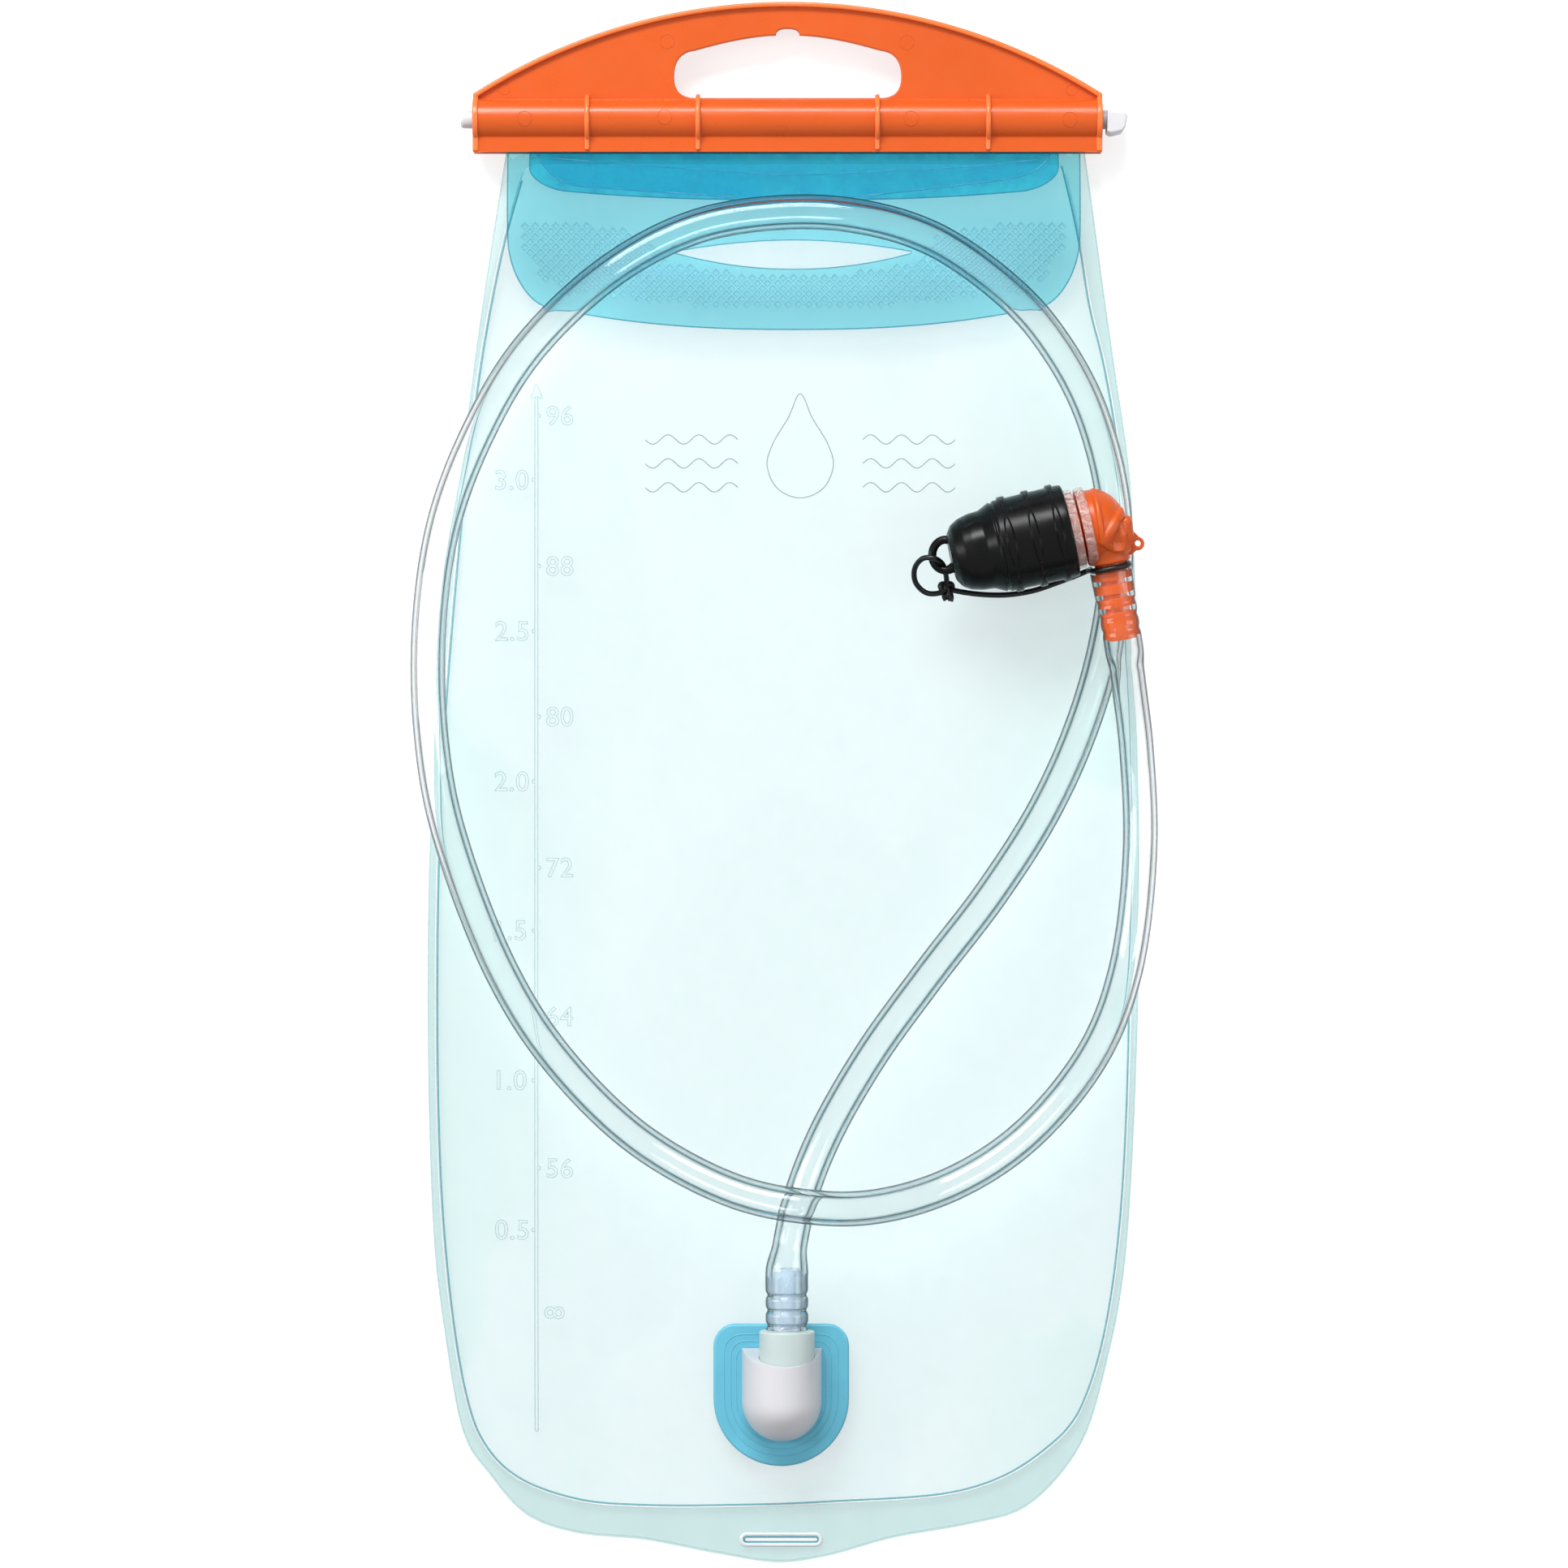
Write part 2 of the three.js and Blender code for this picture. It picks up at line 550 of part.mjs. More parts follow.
function slider() {
  const webLow = ROD_Y + BORE_R + 0.6;
  const rim = archShape(0, webLow);
  rim.holes.push(archShape(RIM_W, webLow + 0.4));
  const lipOut = SLOT_HALF + LIP_WALL;
  const rib = channelOutside(RIB_R, lipOut + RIB_PROUD, LIP_Y + 0.6);
  const ribs = RIB_X.map((x) => runAlongX(rib, BAR_MID + x - RIB_W / 2, BAR_MID + x + RIB_W / 2));
  const body = join(
    runAlongX(channelOutside(TUBE_R, lipOut, LIP_Y), BAR_LEFT, BAR_RIGHT),
    plate(archShape(0, webLow), ROD_Z - WEB_HALF, ROD_Z + WEB_HALF, 20),
    plate(rim, ROD_Z - RIM_HALF, ROD_Z + RIM_HALF, 20),
    ...ribs,
  );
  return cut(body, plate(handleHole(), 0, 14, 5), runAlongX(channelInside(), BAR_LEFT - 1, BAR_RIGHT + 1));
}

// ---------- port ----------

function portOutline(inset) {
  const shape = new THREE.Shape();
  const r = PORT_HALF - inset;
  const top = PORT_TOP - inset;
  const corner = 6;
  shape.moveTo(PORT_X - r, PORT_Y);
  shape.absarc(PORT_X, PORT_Y, r, Math.PI, 2 * Math.PI, false);
  shape.lineTo(PORT_X + r, top - corner);
  shape.absarc(PORT_X + r - corner, top - corner, corner, 0, Math.PI / 2, false);
  shape.absarc(PORT_X - r + corner, top - corner, corner, Math.PI / 2, Math.PI, false);
  return shape;
}

function portFlange() {
  const bore = new THREE.Path();
  bore.absarc(PORT_X, PORT_Y, PORT_BORE, 0, 2 * Math.PI, false);
  const base = portOutline(0);
  base.holes.push(bore);
  return plate(base, FLANGE_Z, FLANGE_Z + FLANGE_T, 14);
}

function portHousing() {
  const up = new THREE.Vector3(0, 0, 1);
  const dome = [[0, 0]];
  for (let i = 0; i < 12; i += 1) {
    const angle = (i / 12) * (Math.PI / 2);
    dome.push([HOUSE_H * Math.sin(angle), HOUSE_HALF * Math.cos(angle)]);
  }
  dome.push([HOUSE_H, 0]);
  const arch = new THREE.Shape();
  arch.moveTo(HOUSE_HALF, 0);
  arch.absellipse(0, 0, HOUSE_HALF, HOUSE_H, 0, Math.PI, false, 0);
  const vault = new THREE.ExtrudeGeometry(arch, {
    depth: HOUSE_FRONT_Y - HOUSE_BACK_Y, bevelEnabled: false, curveSegments: 16,
  }).rotateX(Math.PI / 2).translate(HOUSE_X, HOUSE_FRONT_Y, HOUSE_Z);
  const chamfer = new THREE.Shape();
  chamfer.moveTo(HOUSE_FRONT_Y + 0.01, HOUSE_Z + 4);
  chamfer.lineTo(HOUSE_FRONT_Y + 3, HOUSE_Z + 4);
  chamfer.lineTo(HOUSE_FRONT_Y + 3, HOUSE_Z + HOUSE_H + 2);
  chamfer.lineTo(HOUSE_FRONT_TOP_Y, HOUSE_Z + HOUSE_H + 2);
  const forward = new THREE.Vector3(0, 1, 0);
  const axis = new THREE.Vector3(COLLAR_X, 0, COLLAR_Z);
  const solid = join(turn(dome, new THREE.Vector3(HOUSE_X, HOUSE_BACK_Y, HOUSE_Z), up), vault);
  return cut(
    solid,
    runAlongX(chamfer, -15, 15),
    turn(rodProfile(POCKET_Y, HOUSE_FRONT_Y + 2, COLLAR_R + GAP), axis, forward),
    turn(rodProfile(PORT_Y, POCKET_Y + 1, PORT_BORE - 0.6), axis, forward, 24),
    turn(rodProfile(-1, COLLAR_Z - HOUSE_Z + 1, PORT_BORE - 0.6), new THREE.Vector3(PORT_X, PORT_Y, HOUSE_Z), up, 24),
  );
}

const along = new THREE.Vector3(0, 1, 0);
const collarAxis = new THREE.Vector3(COLLAR_X, 0, COLLAR_Z);
const BARB_R = 4.2;
const BARB_BORE = 2.4;
const BARB_END_Y = -131.0;

const portCollar = () => turn([
  [COLLAR_END_Y, 4.3], [COLLAR_END_Y, COLLAR_R - 0.5], [COLLAR_END_Y + 0.5, COLLAR_R], [COLLAR_Y - 0.6, COLLAR_R],
  [COLLAR_Y, COLLAR_R - 0.6], [COLLAR_Y, 4.3],
], collarAxis, along);

const portSeal = () => turn([
  [POCKET_Y + GAP, 4.6], [POCKET_Y + GAP, 6.6], [POCKET_Y + 1.1, 7.1], [COLLAR_END_Y - GAP, 6.6], [COLLAR_END_Y - GAP, 4.6],
], collarAxis, along);

function hoseBarb() {
  const profile = [[POCKET_Y + 0.6, BARB_BORE], [POCKET_Y + 0.6, 4.0], [COLLAR_Y + 0.4, 4.0], [COLLAR_Y + 1.5, 3.4]];
  for (let y = COLLAR_Y + 3.4; y < BARB_END_Y - 4; y += 4.4) {
    profile.push([y, 3.4], [y + 0.3, BARB_R], [y + 1.2, BARB_R], [y + 4.0, 3.5]);
  }
  profile.push([BARB_END_Y, 3.3], [BARB_END_Y, BARB_BORE]);
  return turn(profile, collarAxis, along, 18);
}

// ---------- hose ----------

function drinkHose() {
  const curve = new THREE.CatmullRomCurve3(HOSE.map((p) => new THREE.Vector3(...p)), false, "centripetal");
  const length = curve.getLength();
  const near = [0, 6, 13, 17.5, 23];
  const far = [27, 20.5, 15, 7, 0].map((e) => length - e);
  const middle = [];
  const steps = HOSE_STEPS - near.length - far.length;
  for (let i = 1; i < steps; i += 1) middle.push(23 + ((length - 50) * i) / steps);
  const stations = [...near, ...middle, ...far];
  const points = stations.map((s) => curve.getPointAt(clamp(s / length)));
  const swell = (s, full) => smooth((full - s) / 5.5);
  const outer = stations.map((s) => {
    const atPort = 1.1 * swell(s, 23);
    const left = length - s;
    const atValve = 0.35 * swell(left, 27) + 0.8 * smooth((20.5 - left) / 20);
    return HOSE_R + atPort + atValve;
  });
  const inner = stations.map((s) => HOSE_BORE + 1.7 * Math.max(swell(s, 23), swell(length - s, 26)));
  return sweep(points, outer, inner, HOSE_SIDES);
}

// ---------- bite valve ----------

const stemDir = STEM_TO.clone().sub(STEM_FROM).normalize();
const stemLength = STEM_TO.distanceTo(STEM_FROM);

function stemProfile() {
  const profile = [[2, 0], [2, 4.7], [9.2, 4.7], [9.8, STEM_R], [17.0, STEM_R]];
  for (let s = 17.0; s < 26; s += 4.1) {
    profile.push([s, STEM_ROOT_R], [s + 1.0, STEM_ROOT_R], [s + 1.3, STEM_R - 0.1], [s + 3.9, STEM_R]);
  }
  profile.push([stemLength - 1.2, STEM_R], [stemLength, STEM_R - 0.5], [stemLength, 0]);
  return profile;
}

function valveElbow() {
  const dome = [[-DOME_LENGTH, 0]];
  for (let i = 1; i <= 8; i += 1) {
    const angle = (i / 8) * (Math.PI / 2);
    dome.push([-DOME_LENGTH * Math.cos(angle), DOME_R * Math.sin(angle)]);
  }
  dome.push([RING_END, RING_R], [RING_END, 0]);
  const lug = new THREE.Shape();
  lug.moveTo(86.5, 70.6);
  lug.lineTo(LUG[0] + 0.3, LUG[1] + 1.9);
  lug.absarc(LUG[0], LUG[1], 1.9, Math.PI / 2, -Math.PI / 2, true);
  lug.lineTo(88.0, 61.6);
  const eye = new THREE.Path();
  eye.absarc(LUG[0], LUG[1], 0.75, 0, 2 * Math.PI, false);
  lug.holes.push(eye);
  const solid = join(
    turn(dome, VALVE_AT, VALVE_DIR, 28),
    turn(stemProfile(), STEM_FROM, stemDir, 18),
    plate(lug, VALVE_AT.z - 1.1, VALVE_AT.z + 1.1, 6),
  );
  return cut(
    solid,
    turn(rodProfile(SOCKET_FLOOR, RING_END + 1, SOCKET_R), VALVE_AT, VALVE_DIR),
    turn(rodProfile(-3.4, 0, WATER_R), VALVE_AT, VALVE_DIR, 14),
    turn(rodProfile(-1.4, stemLength + 1, WATER_R), STEM_FROM, stemDir, 14),
  );
}

// Relieved where the stem leaves beside it.
const gripBand = () => cut(
  turn(ringProfile(0.9, RING_END - 0.1, SKIN_IN, SKIN_OUT), VALVE_AT, VALVE_DIR, 32),
  turn(rodProfile(0, 14, 5.2), STEM_FROM, stemDir, 20),
);

const shutoffBarrel = () => turn([
  [SOCKET_FLOOR + 0.4, WATER_R], [SOCKET_FLOOR + 0.4, 5.6], [0.6, 5.6], [0.6, 4.3], [2.4, 4.3], [2.4, 5.6],
  [SPLIT, 5.6], [SPLIT, RING_R], [7.6, RING_R], [7.6, 4.4], [15, 4.4], [15, WATER_R],
], VALVE_AT, VALVE_DIR, 28);

const barrelSeal = () => turn(
  [[0.9, 4.6], [0.9, 5.3], [1.2, 5.6], [1.8, 5.6], [2.1, 5.3], [2.1, 4.6]], VALVE_AT, VALVE_DIR,
);

function biteValve() {
  const body = turn([
    [4.2, SKIN_IN], [4.2, SKIN_OUT], [8.2, SKIN_OUT], [9.6, 9.2], [11.0, 6.6], [14.5, 6.0], [18, 6.4], [24, 7.0],
    [28, 6.6], [29.2, 5.2], [29.2, 0], [27.2, 0], [27.2, 3.2], [16, 3.2], [15.3, 4.7], [7.9, 4.7], [7.9, SKIN_IN],
  ], VALVE_AT, VALVE_DIR, 28);
  const slit = new THREE.BoxGeometry(4, 0.5, 5.6);
  slit.rotateZ(Math.atan2(VALVE_DIR.y, VALVE_DIR.x));
  const tip = VALVE_AT.clone().addScaledVector(VALVE_DIR, 28.2);
  return cut(body, slit.translate(tip.x, tip.y, tip.z));
}

function dustCap() {
  const shell = turn([
    [CAP_MOUTH, 11.2], [CAP_MOUTH, 12.1], [8.2, 12.5], [13, 12.8], [24, 12.8], [30, 12.4], [33.4, 11.2],
    [36.2, 8.9], [37.9, 6.0], [CAP_END, 3.0], [CAP_END, 0], [CAP_END - 1.3, 0], [CAP_END - 1.9, 4.6],
    [34.8, 7.8], [32.4, 9.9], [29.6, 11.0], [26, 11.2],
  ], VALVE_AT, VALVE_DIR, 30);
  const eyelet = new THREE.Shape();
  eyelet.absarc(EYELET.x, EYELET.y, 3.3, 0, 2 * Math.PI, false);
  const hole = new THREE.Path();
  hole.absarc(EYELET.x, EYELET.y, 1.7, 0, 2 * Math.PI, false);
  eyelet.holes.push(hole);
  return join(shell, plate(eyelet, EYELET.z - 1, EYELET.z + 1, 10));
}

// ---------- tether ----------

function tetherStrand() {
  const side = new THREE.Vector3(0, 0, 1).cross(stemDir).normalize();
  const up = stemDir.clone().cross(side);
  const points = [];
  for (let i = 0; i <= 16; i += 1) {
    const share = i / 16;
    const angle = Math.PI * (1.4 + 1.82 * share);
    const r = STEM_R + GAP + CORD_R + 1.5 * smooth((share - 0.85) / 0.15);
    const p = STEM_FROM.clone().addScaledVector(stemDir, TURN_AT + 0.2 * share);
    points.push(p.addScaledVector(side, r * Math.cos(angle)).addScaledVector(up, r * Math.sin(angle)));
  }
  points.push(...STRAND.map((p) => new THREE.Vector3(...p)));
  const curve = new THREE.CatmullRomCurve3(points, false, "centripetal");
  const route = curve.getSpacedPoints(36);
  return sweep(route, route.map(() => CORD_R), route.map(() => 0), CORD_SIDES);
}

function tetherKnot() {
  const curve = new THREE.CatmullRomCurve3(KNOT_LOOP.map((p) => new THREE.Vector3(...p)), true, "centripetal");
  const route = curve.getSpacedPoints(24).slice(0, -1);
  const loop = sweep(route, route.map(() => CORD_R), route.map(() => 0), CORD_SIDES, true);
  const knot = new THREE.SphereGeometry(2.1, 12, 8).scale(1.15, 1, 0.9).translate(KNOT.x, KNOT.y, KNOT.z);
  return join(loop, knot);
}

// ---------- assembly ----------

const MATERIALS = {
  clear_film: [0xd8eef0, 0.25],
  blue_film: [0x6cc4da, 0.3],
  dark_blue_film: [0x38aad4, 0.3],
  orange_plastic: [0xfa7030, 0.35],
  white_plastic: [0xe4e4e8, 0.4],
  blue_plastic: [0x86c8dc, 0.35],
  milky_plastic: [0xcce0dc, 0.4],
  clear_plastic: [0xe6f2f2, 0.15],
  clear_hose: [0xd6ebe9, 0.15],
  silicone: [0xf0e4dc, 0.5],
  seal_rubber: [0xb8d8c8, 0.6],
  black_rubber: [0x1a1c1e, 0.5],
  black_cord: [0x1c1c1e, 0.55],
};

const PIECES = [
  ["back_film", "clear_film", backFilm],
  ["front_film", "clear_film", frontFilm],
  ["grip_flap", "blue_film", gripFlap],
  ["inner_lip", "dark_blue_film", innerLip],
  ["closure_rod", "white_plastic", closureRod],
  ["slider", "orange_plastic", slider],
  ["port_flange", "blue_plastic", portFlange],
  ["port_housing", "white_plastic", portHousing],
  ["port_seal", "seal_rubber", portSeal],
  ["port_collar", "milky_plastic", portCollar],
  ["hose_barb", "clear_plastic", hoseBarb],
  ["drink_hose", "clear_hose", drinkHose],
  ["valve_elbow", "orange_plastic", valveElbow],
  ["grip_band", "silicone", gripBand],
  ["shutoff_barrel", "orange_plastic", shutoffBarrel],
  ["barrel_seal", "seal_rubber", barrelSeal],
  ["bite_valve", "silicone", biteValve],
  ["dust_cap", "black_rubber", dustCap],
  ["tether_strand", "black_cord", tetherStrand],
  ["tether_knot", "black_cord", tetherKnot],
];

const model = new THREE.Group();
PIECES.forEach(([name, slot, make]) => {
  const [color, roughness] = MATERIALS[slot];
  const geometry = make();
  geometry.deleteAttribute("uv");
  geometry.computeVertexNormals();
  const mesh = new THREE.Mesh(geometry, new THREE.MeshStandardMaterial({ color, roughness, metalness: 0 }));
  mesh.name = name;
  model.add(mesh);
});

export default model;
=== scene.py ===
import bpy
import bmesh
import math
import numpy as np
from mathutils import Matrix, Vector, noise
from mathutils.geometry import tessellate_polygon


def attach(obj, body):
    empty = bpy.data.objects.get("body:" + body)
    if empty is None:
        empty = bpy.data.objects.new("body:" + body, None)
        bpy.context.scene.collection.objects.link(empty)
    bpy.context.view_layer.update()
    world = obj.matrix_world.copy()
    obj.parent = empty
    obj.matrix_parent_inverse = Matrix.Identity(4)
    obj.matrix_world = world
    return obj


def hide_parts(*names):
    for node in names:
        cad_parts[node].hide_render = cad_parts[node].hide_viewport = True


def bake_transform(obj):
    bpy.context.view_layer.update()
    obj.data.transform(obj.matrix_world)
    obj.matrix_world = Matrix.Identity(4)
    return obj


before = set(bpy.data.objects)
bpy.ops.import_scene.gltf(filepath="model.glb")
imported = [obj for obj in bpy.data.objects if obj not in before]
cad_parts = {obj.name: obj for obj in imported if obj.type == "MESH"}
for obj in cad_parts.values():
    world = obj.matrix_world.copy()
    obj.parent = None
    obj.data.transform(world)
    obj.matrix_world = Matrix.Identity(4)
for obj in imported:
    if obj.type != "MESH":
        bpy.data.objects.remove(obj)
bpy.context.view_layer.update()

# Shapes are worked out in millimetres and made in metres.
MM = 0.001
BEAD_STEP = 0.7  # between the points of a thin bead

# ---------- the part's dimensions ----------

GAP = 0.3
FILM = 0.4
ROD_Y = 180.2
ROD_Z = 7.0
ROD_R = 2.6
INNER_WRAP_R = ROD_R + GAP + FILM / 2
OUTER_WRAP_R = INNER_WRAP_R + FILM + GAP
BORE_R = OUTER_WRAP_R + FILM / 2 + GAP
TUBE_R = 5.7
RIB_R = 6.9
INNER_LEVEL = (GAP + FILM) / 2
OUTER_LEVEL = INNER_LEVEL + GAP + FILM
SLOT_HALF = OUTER_LEVEL + FILM / 2 + GAP
LIP_OUT = SLOT_HALF + 1.4
LIP_Y = 171.2
MOUTH_Y = 172.6
BAR_LEFT, BAR_RIGHT, BAR_MID = -84.3, 86.2, 1.0
ARCH_R, ARCH_TOP = 158.6, 211.9
SEAM_TOP = 168.0
RAMP_FROM = 125.0
CROWN = 7.0
PORT_X, PORT_Y, PORT_HALF, PORT_TOP = -0.75, -166.8, 18.4, -146.5
PORT_PLATEAU = 3.0
FLANGE_Z = FILM + GAP + FILM + PORT_PLATEAU + 0.35
FLANGE_T = 1.6
HOUSE_X, HOUSE_HALF, HOUSE_H = -0.6, 10.8, 16.8
HOUSE_BACK_Y, HOUSE_FRONT_Y, HOUSE_FRONT_TOP_Y = -167.4, -153.1, -157.0
HOUSE_Z = FLANGE_Z + FLANGE_T
COLLAR_X, COLLAR_R, COLLAR_Y, COLLAR_END_Y = 0.8, 7.5, -147.8, -157.8
COLLAR_Z = HOUSE_Z + GAP + COLLAR_R
BARB_END_Y = -131.0
HOSE_R, HOSE_BORE = 4.75, 3.2

EDGE = [
    (81.4, MOUTH_Y), (90.0, 113.5), (94.4, 80.5), (96.4, -7.5), (96.6, -51.5), (93.9, -117.5),
    (91.7, -138.6), (88.2, -156.0), (82.1, -177.1), (75.0, -188.3), (64.5, -197.6), (50.4, -201.5),
    (29.3, -205.3), (11.9, -210.1), (-1.3, -211.9), (-18.7, -209.4), (-38.1, -205.7), (-57.4, -203.7),
    (-70.2, -198.9), (-81.2, -186.6), (-86.5, -178.9), (-92.8, -146.5), (-95.7, -117.5), (-96.1, -7.5),
    (-84.5, 113.5), (-75.2, MOUTH_Y),
]
SEAM = [
    (75.2, SEAM_TOP), (79.9, 148.3), (83.2, 129.4), (87.1, 113.5), (92.0, 80.5), (93.3, 14.5),
    (93.9, -60.3), (91.5, -117.5), (87.6, -147.0), (83.4, -163.0), (78.5, -173.6), (71.5, -180.6),
    (60.9, -187.7), (46.9, -192.5), (15.4, -195.1), (-38.1, -196.2), (-57.4, -194.3), (-73.5, -187.9),
    (-81.8, -178.9), (-86.5, -165.9), (-92.8, -117.5), (-93.9, -20.7), (-89.7, 50.0), (-82.5, 113.5),
    (-76.6, 144.3), (-69.8, SEAM_TOP),
]
HOSE = [
    (0.8, -147.3, COLLAR_Z), (0.8, -139.0, COLLAR_Z), (0.9, -130.0, COLLAR_Z),
    (4.0, -113.5, 12.1), (10.8, -95.5, 12.4),
    (23.3, -73.5, 13.0), (39.2, -51.5, 12.9), (56.1, -29.5, 11.9), (70.2, -7.5, 10.3),
    (80.3, 14.5, 8.8), (86.9, 36.5, 7.6), (90.0, 58.5, 7.1), (88.7, 80.5, 7.1),
    (82.5, 102.5, 7.8), (73.5, 118.8, 9.2), (62.5, 131.6, 11.6), (40.5, 147.2, 13.1),
    (18.5, 153.6, 13.5), (-3.5, 154.2, 13.6), (-25.5, 150.0, 13.2), (-47.5, 138.2, 12.2),
    (-69.5, 117.5, 9.0), (-82.7, 95.9, 7.2), (-92.6, 69.5, 6.5), (-96.6, 36.5, 6.5),
    (-94.6, 3.5, 6.6), (-89.3, -18.5, 7.6), (-76.1, -51.5, 9.7), (-62.0, -73.5, 11.4),
    (-39.8, -95.5, 14.0), (-14.5, -109.1, 19.8), (4.5, -113.4, 22.0), (23.5, -113.9, 19.4),
    (45.0, -108.2, 13.6), (65.1, -95.5, 11.0), (83.6, -73.5, 8.4), (92.4, -51.5, 7.0),
    (96.6, -18.5, 6.5), (95.6, 9.0, 7.6), (93.3, 26.0, 13.0), (91.4, 38.0, 17.8),
    (89.65, 47.85, 18.95), (88.0, 57.2, 20.0),
]
FLAP = {"left": -75.0, "right": 80.3, "side": 148.7, "corner": 132.0, "middle": 123.2}
LIP = {"left": -69.0, "right": 74.4, "side": 167.0, "corner": 161.6, "middle": 158.2}
LENS_MID, LENS_HALF, LENS_RISE = 2.55, 32.45, 3.8

VALVE_AT = np.array([83.2, 69.6, 21.5])
VALVE_DIR = np.array([-0.975, -0.222, 0.0]) / math.hypot(0.975, 0.222)
STEM_FROM = np.array([85.8, 69.6, 21.5])
STEM_TO = np.array([91.2, 39.2, 17.9])
STEM_DIR = (STEM_TO - STEM_FROM) / np.linalg.norm(STEM_TO - STEM_FROM)
STEM_LENGTH = float(np.linalg.norm(STEM_TO - STEM_FROM))
KNOT = np.array([44.2, 52.8, 11.2])
CORD_R = 0.75
STRAND = [
    (79.0, 56.3, 14.5), (74.4, 54.6, 13.2), (67.5, 52.3, 12.0), (60.5, 51.2, 11.2), (53.4, 51.3, 10.8),
    (47.4, 52.1, 10.8), (44.6, 52.7, 11.2),
]

# ---------- numbers ----------


def smooth(v):
    v = np.clip(v, 0, 1)
    return v * v * (3 - 2 * v)


def unit(v):
    v = np.asarray(v, float)
    return v / np.linalg.norm(v)


def catmull(points, closed=False, steps=14):
    """A dense line through points, by centripetal Catmull-Rom."""
    p = [np.asarray(q, float) for q in points]
    count = len(p)
    ends = [2 * p[0] - p[1], 2 * p[-1] - p[-2]]
    line = []
    for i in range(count if closed else count - 1):
        b, c = p[i], p[(i + 1) % count]
        a = p[i - 1] if closed or i > 0 else ends[0]
        d = p[(i + 2) % count] if closed or i + 2 < count else ends[1]
        ta, tb, tc = (max(1e-4, np.linalg.norm(v) ** 0.5) for v in (b - a, c - b, d - c))
        m1 = ((b - a) / ta - (c - a) / (ta + tb) + (c - b) / tb) * tb
        m2 = ((c - b) / tb - (d - b) / (tb + tc) + (d - c) / tc) * tb
        for t in np.arange(steps) / steps:
            square, cube = 3 * c - 3 * b - 2 * m1 - m2, 2 * b - 2 * c + m1 + m2
            line.append(b + m1 * t + square * t**2 + cube * t**3)
    line.append(p[0] if closed else p[-1])
    return np.array(line)


def stations_of(line):
    return np.concatenate([[0], np.cumsum(np.linalg.norm(np.diff(line, axis=0), axis=1))])


def at_stations(line, wanted):
    s = stations_of(line)
    return np.stack([np.interp(wanted, s, line[:, k]) for k in range(line.shape[1])], axis=1)


def respace(line, count):
    return at_stations(line, np.linspace(0, stations_of(line)[-1], count))


# ---------- the films' surface ----------

seam_line = respace(catmull(SEAM), 420)
seam_angle = np.arctan2(seam_line[:, 1], seam_line[:, 0])
seam_order = np.argsort(seam_angle)
seam_table = (seam_angle[seam_order], np.hypot(*seam_line.T)[seam_order])


def seam_reach(x, y):
    angle = np.arctan2(y, x)
    reach = np.interp(angle, *seam_table, period=2 * math.pi)
    high = np.sin(angle) > 0.5
    flat_top = SEAM_TOP / np.where(high, np.sin(angle), 1)
    top_corner = high & (np.abs(flat_top * np.cos(angle) - 2.7) < 72.5)
    return np.where(top_corner, flat_top, reach)


def back_z(y):
    share = (np.asarray(y, float) - RAMP_FROM) / (LIP_Y - RAMP_FROM)
    return (ROD_Z - OUTER_LEVEL - FILM / 2) * smooth(share)


def front_z(x, y):
    x, y = np.asarray(x, float), np.asarray(y, float)
    share = np.minimum(1, np.hypot(x, y) / seam_reach(x, y))
    natural = CROWN * (1 - share**3) ** 1.3
    away = np.hypot((x - PORT_X) / 19.5, (y - PORT_Y) / 20.5)
    part = smooth((away - 1) / 0.6)
    return back_z(y) + FILM + GAP + PORT_PLATEAU + (natural - PORT_PLATEAU) * part


def film_top(x, y):
    return front_z(x, y) + FILM


def lip_lift(y):
    return GAP + 0.3 * smooth((LIP_Y - y) / 5)


def flap_lift(y):
    return lip_lift(y) + FILM + GAP + 0.2 * smooth((LIP_Y - y) / 5)


def lower_edge(strip, x):
    half = (strip["right"] - strip["left"]) / 2
    off = np.clip(np.abs(x - (strip["left"] + strip["right"]) / 2) / half, 0, 1)
    bow = strip["middle"] + (strip["corner"] - strip["middle"]) * off**2.4
    corner = np.clip((off - 0.86) / 0.14, 0, 1)
    return bow + (strip["side"] - bow) * (1 - np.sqrt(1 - corner**2))


def flap_top(x, y):
    return front_z(x, y) + 2 * FILM + flap_lift(y)


# ---------- materials ----------


def srgb(r, g, b):
    return tuple((v / 255 / 12.92) if v <= 10 else ((v / 255 + 0.055) / 1.055) ** 2.4 for v in (r, g, b))


M = {}


